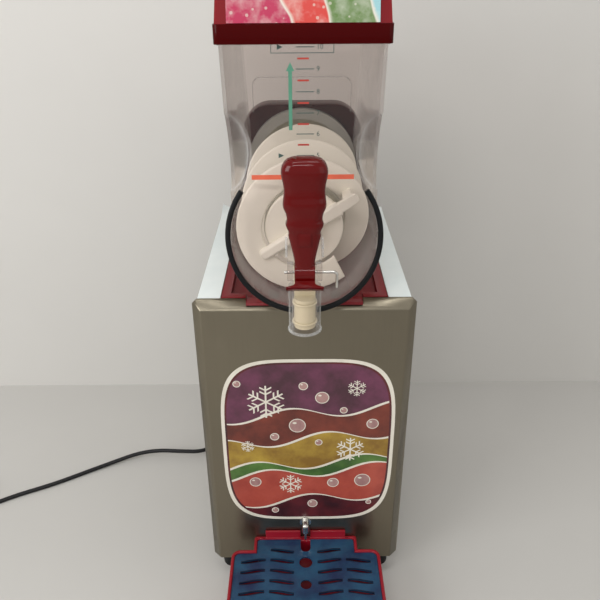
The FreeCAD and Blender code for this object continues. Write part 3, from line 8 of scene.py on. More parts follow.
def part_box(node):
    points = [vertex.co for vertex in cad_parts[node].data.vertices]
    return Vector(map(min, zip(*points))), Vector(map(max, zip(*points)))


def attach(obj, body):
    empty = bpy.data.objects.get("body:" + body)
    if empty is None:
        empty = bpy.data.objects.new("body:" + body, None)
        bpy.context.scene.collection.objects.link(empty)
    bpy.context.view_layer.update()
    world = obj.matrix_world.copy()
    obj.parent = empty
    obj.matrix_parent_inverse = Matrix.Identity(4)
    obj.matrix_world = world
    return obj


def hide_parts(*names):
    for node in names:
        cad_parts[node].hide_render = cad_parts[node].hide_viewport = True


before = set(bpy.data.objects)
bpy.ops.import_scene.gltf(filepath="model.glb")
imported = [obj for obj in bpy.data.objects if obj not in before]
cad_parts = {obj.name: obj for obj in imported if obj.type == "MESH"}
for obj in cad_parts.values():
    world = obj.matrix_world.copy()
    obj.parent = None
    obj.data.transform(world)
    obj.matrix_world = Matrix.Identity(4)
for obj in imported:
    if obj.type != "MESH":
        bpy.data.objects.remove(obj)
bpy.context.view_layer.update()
print("frame loaded:", len(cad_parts), "nodes")

scene = bpy.context.scene
scene.view_settings.view_transform = "Standard"

# places that several pieces share, in metres, the CAD's own
faceY = -0.098
axisZ = 0.541
frontLean = math.radians(9.65)
pinY, pinZ = faceY - 0.049, 0.518
pin = Vector((0, pinY, pinZ))
tubeY = faceY - 0.036
bowlFront = faceY - 0.005


# camera: worked out from the cabinet's straight edges in the photograph
camera = {"lens": 39.3, "place": (-0.006, -0.781, 0.813), "pitch": 27.39, "roll": -0.43, "yaw": 0.06}


def linked(name, data):
    made = bpy.data.objects.new(name, data)
    scene.collection.objects.link(made)
    return made


def makeCamera(setup):
    pitch, roll, yaw = (math.radians(setup[k]) for k in ("pitch", "roll", "yaw"))
    data = bpy.data.cameras.new("camera")
    data.lens = setup["lens"]
    data.sensor_width = 36.0
    data.clip_start = 0.02
    made = linked("camera", data)
    turned = Matrix.Rotation(-yaw, 4, "Z") @ Matrix.Rotation(math.pi / 2 - pitch, 4, "X")
    made.matrix_world = Matrix.Translation(setup["place"]) @ turned @ Matrix.Rotation(roll, 4, "Z")
    scene.camera = made


makeCamera(camera)


class ShaderMath:
    # wraps a socket of one material, so that an expression adds its Math nodes
    def __init__(self, tree, socket=None):
        self.tree = tree
        self.socket = socket

    def add(self, kind, values=None, output=0, **settings):
        made = self.tree.nodes.new("ShaderNode" + kind)
        for name, value in settings.items():
            if name == "stops":
                setStops(made.color_ramp, value)
            else:
                setattr(made, name, value)
        for name, value in (values or {}).items():
            socket = made.inputs[name]
            if isinstance(value, ShaderMath):
                self.tree.links.new(value.socket, socket)
            else:
                socket.default_value = value
        return ShaderMath(self.tree, made.outputs[output] if made.outputs else None)

    def step(self, operation, first, second=0.0):
        return self.add("Math", {0: first, 1: second}, operation=operation)

    def __add__(self, other):
        return self.step("ADD", self, other)

    def __sub__(self, other):
        return self.step("SUBTRACT", self, other)

    def __rsub__(self, other):
        return self.step("SUBTRACT", other, self)

    def __mul__(self, other):
        return self.step("MULTIPLY", self, other)

    __radd__ = __add__
    __rmul__ = __mul__


def setStops(ramp, stops):
    # stops are (place, colour or grey); the ramp starts with two
    def colourOf(value):
        return (value, value, value, 1) if isinstance(value, float) else (*value, 1)
    for element, (place, value) in zip(ramp.elements, (stops[0], stops[-1])):
        element.position, element.color = place, colourOf(value)
    for place, value in stops[1:-1]:
        ramp.elements.new(place).color = colourOf(value)


def fromScreen(red, green, blue):
    # a colour as an image shows it, 0 to 255, turned into the shader's own values
    def linear(value):
        share = value / 255.0
        return share / 12.92 if share <= 0.04045 else ((share + 0.055) / 1.055) ** 2.4
    return (linear(red), linear(green), linear(blue), 1.0)


def makeFinish(name, maker, colours, settings={}, nodes=""):
    # the maker draws the nodes of one material and returns its shader; the CAD nodes named take the material
    material = bpy.data.materials.new(name)
    material.use_nodes = True
    material.node_tree.nodes.clear()
    shade = ShaderMath(material.node_tree)
    shader = maker(shade, *[fromScreen(*colour) for colour in colours], **settings)
    shade.add("OutputMaterial", {"Surface": shader})
    for node in nodes.split():
        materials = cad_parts[node].data.materials
        materials.clear()
        materials.append(material)
    return material


def mixColour(shade, factor, first, second):
    return shade.add("Mix", {0: factor, 6: first, 7: second}, 2, data_type="RGBA")


def objectPlace(shade, scale=None):
    place = shade.add("TexCoord", output=3)
    return shade.add("Mapping", {"Vector": place, "Scale": scale}) if scale else place


def noise(shade, vector, scale, detail=3.0, roughness=0.5):
    return shade.add("TexNoise", {"Vector": vector, "Scale": scale, "Detail": detail, "Roughness": roughness})


def ramp(shade, value, stops):
    return shade.add("ValToRGB", {"Fac": value}, stops=stops)


def shaded(colour, share):
    return (*[min(1.0, c * share) for c in colour[:3]], 1.0)


def principled(shade, base, rough, bump=None, **values):
    # bump is its strength, distance and height; an underscore stands for the space in an input's name
    if bump:
        values["Normal"] = shade.add("Bump", dict(zip(("Strength", "Distance", "Height"), bump)))
    values = {name.replace("_", " "): value for name, value in values.items()}
    return shade.add("BsdfPrincipled", {"Base Color": base, "Roughness": rough, **values})


def moulded(shade, colour, shine=0.28, grain=900.0, depth=0.04, mottle=0.08, coat=0.0, scuffs=0.1, gloss=0.5):
    place = objectPlace(shade)
    cloud = noise(shade, place, 16.0, 4.0, 0.6)
    speck = noise(shade, place, grain, 2.0)
    scuff = noise(shade, objectPlace(shade, (70.0, 420.0, 260.0)), 1.0, 5.0, 0.7)
    worn = ramp(shade, scuff, [(0.6, 0.0), (0.75, 1.0)])
    base = mixColour(shade, cloud, shaded(colour, 1.0 - mottle), shaded(colour, 1.0 + mottle))
    return principled(shade, base, cloud * 0.08 + worn * scuffs + shine, (depth, 0.0005, speck + cloud * 0.6),
                      IOR=1.49, Specular_IOR_Level=gloss, Coat_Weight=coat, Coat_Roughness=0.06)


def brushed(shade, colour, brush, shine=0.3):
    # brush is how fast the grain changes along X, Y and Z
    grain = noise(shade, objectPlace(shade, brush), 1.0, 5.0, 0.65)
    cloud = noise(shade, objectPlace(shade, (9.0, 9.0, 5.0)), 1.0, 5.0, 0.6)
    press = noise(shade, objectPlace(shade, (38.0, 38.0, 24.0)), 1.0, 4.0, 0.7)
    smear = ramp(shade, press, [(0.5, 0.0), (0.68, 1.0)])
    base = mixColour(shade, cloud, shaded(colour, 0.86), shaded(colour, 1.14))
    base = mixColour(shade, grain * 0.35, base, shaded(colour, 1.35))
    return principled(shade, base, grain * 0.16 + smear * 0.1 + shine, (0.12, 0.0003, grain), Metallic=1.0)


def metal(shade, colour, shine=0.2):
    cloud = noise(shade, objectPlace(shade), 60.0, 4.0, 0.6)
    speck = noise(shade, objectPlace(shade), 1500.0, 2.0)
    base = mixColour(shade, cloud, shaded(colour, 0.88), shaded(colour, 1.1))
    return principled(shade, base, cloud * 0.15 + shine, (0.06, 0.0003, speck), Metallic=1.0)


def clearPlastic(shade, tint, haze, body=(0.86, 0.88, 0.88, 1.0), shine=0.07):
    # thin clear walls: what is behind shows through, more at right angles than along the wall
    wipe = noise(shade, objectPlace(shade, (220.0, 220.0, 14.0)), 1.0, 4.0, 0.7)
    cloud = noise(shade, objectPlace(shade), 22.0, 4.0, 0.6)
    marks = ramp(shade, wipe, [(0.52, 0.0), (0.78, 1.0)])
    edge = shade.step("POWER", shade.add("LayerWeight", {"Blend": 0.5}, 1), 3.6)
    amount = edge * 0.8 + cloud * haze + marks * haze * 0.6 + 0.01
    solid = principled(shade, body, marks * 0.1 + shine)
    through = shade.add("BsdfTransparent", {"Color": tint})
    return shade.add("MixShader", {0: amount, 1: through, 2: solid})


def printed(shade, colour, second, stretch=(60.0, 60.0, 20.0), shine=0.32):
    # inked film: two tones that drift into each other, under a thin gloss
    cloud = noise(shade, objectPlace(shade, stretch), 1.0, 4.0, 0.6)
    base = mixColour(shade, ramp(shade, cloud, [(0.36, 0.0), (0.64, 1.0)]), colour, second)
    ripple = noise(shade, objectPlace(shade), 45.0, 3.0)
    return principled(shade, base, cloud * 0.1 + shine, (0.12, 0.0006, ripple), Coat_Weight=0.3,
                      Coat_Roughness=0.08)


def grilleFilm(shade, first, second):
    # blue protective film, drawn tight over the pressed grille, with creases and paler patches
    cloud = noise(shade, objectPlace(shade), 22.0, 4.0, 0.6)
    crease = noise(shade, objectPlace(shade, (30.0, 90.0, 30.0)), 1.0, 5.0, 0.75)
    base = mixColour(shade, ramp(shade, cloud, [(0.36, 0.0), (0.62, 1.0)]), first, second)
    return principled(shade, base, crease * 0.16 + 0.3, (0.3, 0.0012, crease), Metallic=0.3, Coat_Weight=0.25,
                      Coat_Roughness=0.1)


def waveBands(shade, line, dust, *colours, slant, turns):
    # a plain pattern for the lid's sheet: slanting bands with pale lines between them, and rising bubbles
    place = objectPlace(shade)
    parts = [shade.add("SeparateXYZ", {"Vector": place}, k) for k in range(3)]
    sway = noise(shade, place, 11.0, 2.0)
    share = shade.step("FRACT", parts[0] * turns + (parts[1] + parts[2]) * slant + sway * 0.5)
    stops, width = [], 1.0 / len(colours)
    for k, colour in enumerate(colours):
        stops += [(k * width, line[:3]), (k * width + 0.022, colour[:3]), ((k + 1) * width - 0.01, colour[:3])]
    base = ramp(shade, share, stops + [(1.0, line[:3])])
    cloud = noise(shade, place, 55.0, 4.0, 0.6)
    base = mixColour(shade, ramp(shade, cloud, [(0.45, 0.0), (0.75, 0.4)]), base, dust)
    bubble = shade.add("TexVoronoi", {"Vector": place, "Scale": 120.0, "Randomness": 1.0})
    base = mixColour(shade, shade.step("LESS_THAN", bubble, 0.2) * 0.5, base, line)
    return principled(shade, base, cloud * 0.08 + 0.14, Coat_Weight=0.5, Coat_Roughness=0.05)


def marked(shade, colour, ink, centre, pitch):
    # black moulded rockers, each with a bar over a ring, the plain on and off marks
    place = objectPlace(shade)
    along, up = (shade.add("SeparateXYZ", {"Vector": place}, k) for k in (1, 2))
    reach = shade.step("ABSOLUTE", along - centre[0])
    rise = shade.step("FLOORED_MODULO", up - (centre[1] - pitch / 2), pitch) - pitch / 2
    high = shade.step("LESS_THAN", shade.step("ABSOLUTE", rise - 0.0052), 0.0021)
    bar = shade.step("LESS_THAN", reach, 0.0005) * high
    drop = rise + 0.0052
    far = shade.step("SQRT", reach * reach + drop * drop)
    ringMark = shade.step("LESS_THAN", shade.step("ABSOLUTE", far - 0.0019), 0.00042)
    cloud = noise(shade, place, 30.0, 3.0)
    base = mixColour(shade, cloud, shaded(colour, 0.85), shaded(colour, 1.15))
    base = mixColour(shade, shade.step("MAXIMUM", bar, ringMark), base, ink)
    return principled(shade, base, cloud * 0.1 + 0.26, (0.1, 0.0004, noise(shade, place, 900.0, 2.0)))


def lampDots(shade, board, lens, top):
    # white board whose raised lamps are yellow
    place = objectPlace(shade)
    height = shade.add("SeparateXYZ", {"Vector": place}, 2)
    cloud = noise(shade, place, 40.0, 3.0)
    base = mixColour(shade, cloud, shaded(board, 0.94), shaded(board, 1.04))
    base = mixColour(shade, shade.step("GREATER_THAN", height, top), base, lens)
    return principled(shade, base, cloud * 0.15 + 0.25)


def lidPlastic(shade, rimColour, crownColour, tint, rimTop):
    # thick at the rim, where it looks nearly black red; thinner above it, where light comes through
    place = objectPlace(shade)
    cloud = noise(shade, place, 30.0, 3.0, 0.6)
    height = shade.add("SeparateXYZ", {"Vector": place}, 2)
    crown = shade.step("GREATER_THAN", height, rimTop)
    base = mixColour(shade, crown, rimColour, crownColour)
    base = mixColour(shade, cloud * crown * 0.3, base, shaded(crownColour, 0.7))
    solid = principled(shade, base, cloud * 0.08 + 0.16, Specular_IOR_Level=0.08,
                       Coat_Weight=crown * 0.4 + 0.03, Coat_Roughness=0.05)
    through = shade.add("BsdfTransparent", {"Color": tint})
    return shade.add("MixShader", {0: 0.96 - crown * 0.34, 1: through, 2: solid})


# the finishes: each one's maker, its colours as an image shows them, what differs from the maker's own settings,
# and the CAD nodes that take it
cream = (214, 208, 194)
broad = {"stretch": (24.0, 24.0, 24.0)}
smooth = {"grain": 700.0, "depth": 0.03, "mottle": 0.04}
upright = (640.0, 640.0, 9.0)
finishTable = {
    "lidPrint": (waveBands, [cream, (226, 224, 214), (92, 122, 62), (146, 192, 198), (176, 36, 78), (200, 58, 50)],
                 {"slant": 2.4, "turns": 5.2}, "lid_sheet"),
    "labelCream": (printed, [cream, (224, 218, 205)]),
    "labelPlum": (printed, [(66, 30, 44), (104, 48, 76)], broad),
    "labelBrick": (printed, [(84, 30, 20), (122, 50, 34)], broad),
    "labelYellow": (printed, [(126, 92, 24), (172, 142, 50)], broad),
    "labelGreen": (printed, [(52, 84, 34), (84, 122, 52)], broad),
    "labelBubble": (printed, [(150, 112, 110), (176, 140, 134)]),
    "labelRose": (printed, [(150, 58, 46), (172, 76, 60)], broad),
    "labelCherry": (printed, [(52, 16, 20), (92, 26, 30)], broad),
    "scaleGreen": (printed, [(68, 128, 104), (78, 138, 114)]),
    "scaleInk": (printed, [(52, 74, 70), (60, 82, 78)]),
    "scaleRed": (printed, [(158, 40, 30), (174, 52, 38)]),
    "levelRed": (printed, [(206, 88, 60), (216, 98, 68)]),
    # painted reflection of the ceiling on the cabinet's steel flange tops
    "paleSheen": (printed, [(222, 232, 232), (234, 241, 240)], {"stretch": (9.0, 9.0, 9.0), "shine": 0.3}),
    "blueFilm": (grilleFilm, [(10, 40, 78), (24, 76, 108)], {}, "drip_grille"),
    "rockerBlack": (marked, [(30, 30, 32), (214, 214, 210)], {"centre": (-0.018, 0.375), "pitch": 0.024},
                    "power_switch cooling_switch lamp_switch"),
    "lampBoard": (lampDots, [(224, 224, 220), (232, 200, 96)], {"top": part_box("lamp_board")[1][2] - 0.0009},
                  "lamp_board"),
    "lidRed": (lidPlastic, [(66, 0, 1), (142, 40, 46), (220, 90, 96)], {"rimTop": 0.7572}, "lid_frame"),
    # the deck, housing and tray are one red plastic at three brightnesses: the housing's darker red is painted shade
    # and the tray's lighter red is painted light
    "deckRed": (moulded, [(112, 16, 24)], {"shine": 0.3, "coat": 0.1, "gloss": 0.25}, "deck"),
    "housingRed": (moulded, [(66, 2, 8)], {"shine": 0.24, "coat": 0.05, "gloss": 0.1}, "rear_housing housing_cover"),
    "trayRed": (moulded, [(136, 16, 32)], {"shine": 0.26, "coat": 0.2, "gloss": 0.3}, "drip_tray"),
    "handleRed": (moulded, [(90, 1, 2)], {"shine": 0.16, "grain": 700.0, "depth": 0.02, "mottle": 0.12, "coat": 0.45,
                                          "scuffs": 0.05, "gloss": 0.06}, "tap_handle"),
    "blackPaint": (moulded, [(28, 28, 30)], {"shine": 0.3, "grain": 600.0, "depth": 0.08}, "gear_motor compressor"),
    "blackPlastic": (moulded, [(34, 34, 36)], {"shine": 0.4, "depth": 0.12},
                     "consistency_knob fan_blade switch_plate strain_relief"),
    # painted shade: the dark rings round the grille's slots
    "paintedSlotShade": (moulded, [(8, 16, 36)], {"shine": 0.3, "gloss": 0.3}),
    "sealRubber": (moulded, [(14, 15, 17)],
                   {"shine": 0.42, "grain": 1400.0, "depth": 0.12, "mottle": 0.2, "gloss": 0.2},
                   "foot_front_left foot_front_right foot_rear_left foot_rear_right front_ring shaft_seal "
                   "compressor_mounts"),
    "cordRubber": (moulded, [(22, 22, 24)],
                   {"shine": 0.38, "grain": 1600.0, "depth": 0.1, "mottle": 0.2, "gloss": 0.3},
                   "mains_plug power_cord cord_coil"),
    "pistonCream": (moulded, [(234, 228, 198)], {"shine": 0.3, **smooth}, "piston piston_seals"),
    "whitePlastic": (moulded, [(248, 246, 235)], {"shine": 0.34, **smooth},
                     "evaporator_cap shaft_bush auger auger_nut"),
    "boardWhite": (moulded, [(224, 224, 220)], {"shine": 0.4, "grain": 800.0, "depth": 0.03, "mottle": 0.04},
                   "lid_base"),
    "hoseGrey": (moulded, [(196, 196, 190)], {"shine": 0.4}, "drain_hose"),
    "gasketGrey": (moulded, [(158, 158, 152)], {"shine": 0.4, "depth": 0.05}, "bowl_gasket"),
    "cabinetSteel": (brushed, [(126, 119, 104)], {"brush": upright, "shine": 0.25}, "front_panel"),
    "sideSteel": (brushed, [(140, 136, 126)], {"brush": upright}, "left_side_panel right_side_panel rear_panel"),
    "zincSteel": (brushed, [(170, 172, 170)], {"brush": (60.0, 60.0, 60.0), "shine": 0.42},
                  "base_pan fan_shroud fan_bracket control_box"),
    "drumSteel": (brushed, [(176, 175, 164)], {"brush": (420.0, 14.0, 420.0), "shine": 0.26},
                  "evaporator drive_shaft"),
    "pinSteel": (metal, [(205, 203, 198)], {"shine": 0.16}, "panel_screws hinge_pin drain_spout"),
    "castAluminium": (metal, [(165, 165, 163)], {"shine": 0.45}, "gearbox fan_motor"),
    "copper": (metal, [(196, 120, 84)], {"shine": 0.25},
               "filter_drier suction_pipe capillary_tube discharge_pipe liquid_pipe"),
    "fins": (metal, [(186, 188, 190)], {"shine": 0.38}, "condenser"),
    "clearPlastic": (clearPlastic, [], {"tint": (0.915, 0.888, 0.876, 1.0), "haze": 0.01}, "bowl"),
    "clearRim": (clearPlastic, [], {"tint": (0.94, 0.94, 0.94, 1.0), "haze": 0.3}),
}
finishes = {name: makeFinish(name, *row) for name, row in finishTable.items()}
print("CAD nodes finished")


# the mains cord: out of the strain relief, down behind the machine and away over the counter to the left,
# where its unseen length lies in a coil
cord = {"diameter": 0.007, "length": 1.59, "first": (-0.085, 0.248, 0.062),
        "coilPitch": 0.0076, "coilInner": 0.027, "turnsDown": 2.0, "turnsUp": 1.55, "tail": 0.042,
        "pointsPerTurn": 16}
cordRoute = [(-0.085, 0.383, 0.062), (-0.110, 0.411, 0.057), (-0.148, 0.412, 0.048), (-0.174, 0.384, 0.037),
             (-0.174, 0.345, 0.026), (-0.159, 0.309, 0.0185), (-0.162, 0.277, 0.015), (-0.186, 0.258, 0.0135),
             (-0.226, 0.256, 0.0165), (-0.268, 0.260, 0.016), (-0.306, 0.2565, 0.0115), (-0.346, 0.241, 0.0055),
             (-0.390, 0.217, 0.0035), (-0.438, 0.187, 0.0035), (-0.500, 0.158, 0.0035), (-0.556, 0.120, 0.0035)]


def outwards(angle, reach=1.0, height=0.0):
    return Vector((math.cos(angle) * reach, math.sin(angle) * reach, height))


def coilPoints(setup, last, before):
    # lower turns wind inwards, the cord climbs where it reverses, and the upper turns wind outwards
    full = 2 * math.pi
    rate = setup["coilPitch"] / full
    down = full * setup["turnsDown"]
    reverse = down + math.pi / 2
    end = down + math.pi + full * setup["turnsUp"]
    outer = setup["coilInner"] + rate * reverse
    lead = Vector((last.x - before.x, last.y - before.y, 0)).normalized()
    firstAngle = math.atan2(lead.y, lead.x) + math.pi / 2 + math.atan(rate / outer)
    begin = last + lead * setup["diameter"]
    centre = begin - outwards(firstAngle) * outer
    step = full / setup["pointsPerTurn"]
    swell = 1 / math.cos(step / 2)
    points = []
    for k in range(1, round(end / step) + 1):
        turned = min(k * step, end)
        radius = (setup["coilInner"] + rate * abs(turned - reverse)) * swell
        rise = min(1.0, max(0.0, (turned - down) / math.pi))
        height = setup["coilPitch"] * (1 - math.cos(math.pi * rise)) / 2
        angle = firstAngle - turned
        points.append(centre + outwards(angle, radius, height))
    heading = (Vector((math.sin(angle), -math.cos(angle), 0)) * radius + outwards(angle) * rate).normalized()
    tip = centre + outwards(angle) * radius / swell
    tip.z = points[-1].z
    points[-1] = tip
    return [begin] + points + [tip + heading * setup["tail"]], heading


def makeCord(setup):
    route = [Vector(setup["first"])] + [Vector((x, y + faceY, z)) for x, y, z in cordRoute]
    turns, heading = coilPoints(setup, route[-1], route[-2])
    points = route + turns
    curve = bpy.data.curves.new("mainsCord", "CURVE")
    curve.dimensions, curve.use_fill_caps = "3D", True
    curve.bevel_depth, curve.bevel_resolution, curve.resolution_u = setup["diameter"] / 2, 4, 8
    spline = curve.splines.new("NURBS")
    spline.points.add(len(points) - 1)
    for slot, point in zip(spline.points, points):
        slot.co = (*point, 1.0)
    spline.order_u = 3
    spline.use_endpoint_u = True
    made = linked("mainsCord", curve)
    curve.materials.append(finishes["cordRubber"])
    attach(made, "cabinet")
    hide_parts("power_cord", "cord_coil")
    return made, turns[-1], heading


mainsCord, cordEnd, plugHeading = makeCord(cord)


# shapes that several pieces are made from
def addPiece(name, mesh, finish, body, slot, stands=(), sharp=35.0, placed=Matrix()):
    bmesh.ops.transform(mesh, matrix=placed, verts=mesh.verts)
    bmesh.ops.remove_doubles(mesh, verts=mesh.verts, dist=0.000005)
    bmesh.ops.recalc_face_normals(mesh, faces=mesh.faces)
    data = bpy.data.meshes.new(name)
    mesh.to_mesh(data)
    mesh.free()
    data.polygons.foreach_set("use_smooth", [True] * len(data.polygons))
    data.set_sharp_from_angle(angle=math.radians(sharp))
    data.materials.append(finishes[finish])
    made = linked(name, data)
    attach(made, body)
    if stands:
        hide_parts(*stands)
    return made


def cube(mesh, low, high):
    size, middle = Vector(high) - Vector(low), (Vector(low) + Vector(high)) / 2
    place = Matrix.Translation(middle) @ Matrix.Diagonal(size).to_4x4()
    return bmesh.ops.create_cube(mesh, size=1.0, matrix=place)["verts"]


def roundBox(mesh, low, high, edge, segments=3, spot=(0, 0, 0)):
    # a box with rounded edges, in millimetres from a spot
    low, high = ([s + v / 1000 for s, v in zip(spot, corner)] for corner in (low, high))
    edges = {e for v in cube(mesh, low, high) for e in v.link_edges}
    bmesh.ops.bevel(mesh, geom=list(edges), offset=edge / 1000, segments=segments, profile=0.5, affect="EDGES",
                    material=-1)


def raiseFaces(mesh, faces, away):
    made = bmesh.ops.extrude_face_region(mesh, geom=faces, use_keep_orig=True)
    moved = [g for g in made["geom"] if isinstance(g, bmesh.types.BMVert)]
    bmesh.ops.translate(mesh, vec=away, verts=moved)


def openLine(mesh, points):
    verts = [mesh.verts.new(p) for p in points]
    return verts, [mesh.edges.new(pair) for pair in zip(verts, verts[1:])]


def spinShut(mesh, points, centre, steps):
    # a solid turned about X from a line that starts and ends on its axis
    verts, edges = openLine(mesh, points)
    bmesh.ops.spin(mesh, geom=edges + verts, cent=centre, axis=(1, 0, 0), angle=2 * math.pi, steps=steps,
                   use_merge=True)


def profileLoop(mesh, points):
    # a closed loop of edges through points given in order
    verts = [mesh.verts.new(p) for p in points]
    return [mesh.edges.new(pair) for pair in zip(verts, verts[1:] + verts[:1])]


def capLoop(mesh, edges):
    bmesh.ops.contextual_create(mesh, geom=list(edges))


def ringLoop(mesh, setup, front, back, angle):
    # a section with chamfered corners of a ring about the drum's axis, drawn at an angle
    r0, r1, edge, cut = setup["inner"], setup["outer"], setup["edge"], setup["edge"] * 0.3
    section = [(r0 + edge, front), (r1 - edge, front), (r1 - cut, front + cut), (r1, front + edge), (r1, back - edge),
               (r1 - cut, back - cut), (r1 - edge, back), (r0 + edge, back), (r0 + cut, back - cut),
               (r0, back - edge), (r0, front + edge), (r0 + cut, front + cut)]
    return profileLoop(mesh, [(r * math.cos(angle), y, axisZ + r * math.sin(angle)) for r, y in section])


def spinOn(mesh, edges, centre, axis, angle, steps, drift=(0, 0, 0)):
    # sweeps a loop about an axis and returns its last place
    verts = {v for e in edges for v in e.verts}
    made = bmesh.ops.spin(mesh, geom=list(edges) + list(verts), cent=centre, axis=axis, dvec=drift,
                          angle=math.radians(angle), steps=steps, use_merge=angle == 360.0)
    return [g for g in made["geom_last"] if isinstance(g, bmesh.types.BMEdge)]


# the plug on the cord's far end, in millimetres along X, turned to the cord's heading: a moulded body and neck,
# two blades and a round earth pin
plug = {"neck": [(0, 3.4), (0, 4.6), (3, 4.9), (3.4, 4.3), (5, 4.3), (5.4, 5.3), (7, 5.5), (7.4, 4.6), (9, 4.6),
                 (9.4, 5.9), (11, 6.1), (11.4, 5), (13, 5), (13.4, 6.5), (15, 6.7), (15.4, 5.5), (17, 5.5),
                 (17.4, 7.2), (22.5, 7.5), (22.5, 3.4)],
        "body": ((21, -13, -11.1), (49, 13, 11.1)), "edge": 3.4, "ridges": (27, 31.5, 36, 40.5),
        "ridgeHalf": (1, 0.4, 7), "ridgeOut": 12.5,
        "apart": 6.35, "reach": 65.5, "earth": -8.25, "earthPin": [(47, 0), (47, 2.4), (65.9, 2.4), (67.5, 0)]}


def makePlug(setup, end, heading):
    turned = Matrix.Translation(end) @ Matrix.Rotation(math.atan2(heading.y, heading.x), 4, "Z")
    mesh = bmesh.new()
    neck = [(along / 1000, 0, radius / 1000) for along, radius in setup["neck"]]
    spinOn(mesh, profileLoop(mesh, neck), (0, 0, 0), (1, 0, 0), 360.0, 32)
    roundBox(mesh, *setup["body"], setup["edge"], 4)
    half = Vector(setup["ridgeHalf"])
    for along in setup["ridges"]:       # finger ridges on both flanks
        for side in (-setup["ridgeOut"], setup["ridgeOut"]):
            middle = Vector((along + half.x, side, 0))
            roundBox(mesh, middle - half, middle + half, 0.3, 2)
    body = addPiece("plugBody", mesh, "cordRubber", "cabinet", "cord_black", ("mains_plug",), placed=turned)

    mesh = bmesh.new()
    for side in (-setup["apart"], setup["apart"]):
        roundBox(mesh, (47.0, side - 0.75, 0.5), (setup["reach"], side + 0.75, 6.8), 0.5, 2)
    line = [(x / 1000, 0, (setup["earth"] + r) / 1000) for x, r in setup["earthPin"]]
    spinShut(mesh, line, line[0], 20)
    blades = addPiece("plugBlades", mesh, "pinSteel", "cabinet", "polished_steel", placed=turned)
    return body, blades


plugPieces = makePlug(plug, cordEnd, plugHeading)
print("cord and plug laid")


# the auger: a blade that starts flat behind the bowl's front and then climbs backwards, with a cross bar
auger = {"outer": 0.0775, "inner": 0.048, "front": 0.017, "thick": 0.005, "edge": 0.0021, "firstAngle": -42,
         "flat": 156, "pitch": 0.085, "run": 0.229, "cutPlace": (0.0475, 0, axisZ - 0.060),
         "cutFacing": (0.9, 0, 0.44), "barAngle": 33, "barDeep": 0.007, "barStep": 0.050, "barFlat": 0.0055,
         "endFlat": 0.0030, "hub": 0.012, "capBack": 0.0205,
         "bar": [(-0.059, 0), (-0.0585, 0.0045), (-0.0565, 0.0064), (-0.053, 0.0070), (-0.012, 0.0070),
                 (0.014, 0.0072), (0.030, 0.0076), (0.0445, 0.0086), (0.0462, 0.0088), (0.0472, 0.0082),
                 (0.0476, 0.0068), (0.052, 0.0064), (0.068, 0.0060), (0.0705, 0.0048), (0.0715, 0.0026), (0.0717, 0)]}
augerLook = "whitePlastic", "auger", "white_plastic"


def makeAuger(setup):
    mesh = bmesh.new()
    front = faceY + setup["front"]
    loop = ringLoop(mesh, setup, front, front + setup["thick"], math.radians(setup["firstAngle"]))
    centre, axis = (0, 0, axisZ), (0, 1, 0)
    loop = spinOn(mesh, loop, centre, axis, setup["flat"], 26)
    bmesh.ops.bisect_plane(mesh, geom=mesh.verts[:] + mesh.edges[:] + mesh.faces[:], clear_outer=True,
                           plane_co=setup["cutPlace"], plane_no=setup["cutFacing"])
    facing, spot = Vector(setup["cutFacing"]), Vector(setup["cutPlace"])
    flush = [e for e in mesh.edges if all(abs((v.co - spot).dot(facing)) < 0.00001 for v in e.verts)]
    capLoop(mesh, flush)
    climb = setup["run"] / setup["pitch"] * 360.0
    steps = round(climb / 6.0)
    loop = spinOn(mesh, loop, centre, axis, climb, steps, (0, setup["run"] / steps, 0))
    capLoop(mesh, loop)
    addPiece("augerBlade", mesh, *augerLook, ("auger",), 50.0)

    mesh = bmesh.new()
    barFront = front - setup["barDeep"]
    spinShut(mesh, [(along, 0, r) for along, r in setup["bar"]], (0, 0, 0), 32)
    for vert in mesh.verts:     # flattened in front, more so near the end, where the leaning wall is close
        vert.co.y = max(vert.co.y, -setup["barFlat"] if vert.co.x < setup["barStep"] else -setup["endFlat"])
    bmesh.ops.translate(mesh, vec=(0, barFront + setup["barFlat"], 0), verts=mesh.verts)
    behind = (setup["firstAngle"] - (setup["barAngle"] - 360.0) - setup["flat"]) / 360.0 * setup["pitch"]
    roundBox(mesh, (54.0, 3.5, -4.5), (66.0, (front + behind - barFront) * 1000 + 3.0, 4.5), 2.0, 3, (0, barFront, 0))
    turned = Matrix.Translation((0, 0, axisZ)) @ Matrix.Rotation(math.radians(-setup["barAngle"]), 4, "Y")
    addPiece("augerBar", mesh, *augerLook, placed=turned)

    mesh = bmesh.new()
    hub, capBack = setup["hub"], faceY + setup["capBack"]
    shape = [(0.0, barFront + 0.0016), (0.0062, barFront + 0.0016), (0.0062, capBack), (hub, capBack),
             (hub, barFront + 0.004), (hub - 0.0002, barFront + 0.0012), (hub - 0.0025, barFront - 0.0006),
             (0.0, barFront - 0.0006)]
    line = openLine(mesh, [(r, y, axisZ) for r, y in shape])[1]
    spinOn(mesh, line, centre, axis, 360.0, 48)
    addPiece("augerHub", mesh, *augerLook)


makeAuger(auger)


# the black rubber ring on the trough's leaning front edge
ring = {"inner": 0.0816, "outer": 0.0876, "thick": 0.0045, "edge": 0.0016, "end": 36.6, "gap": 0.0118, "clear": 0.0002}


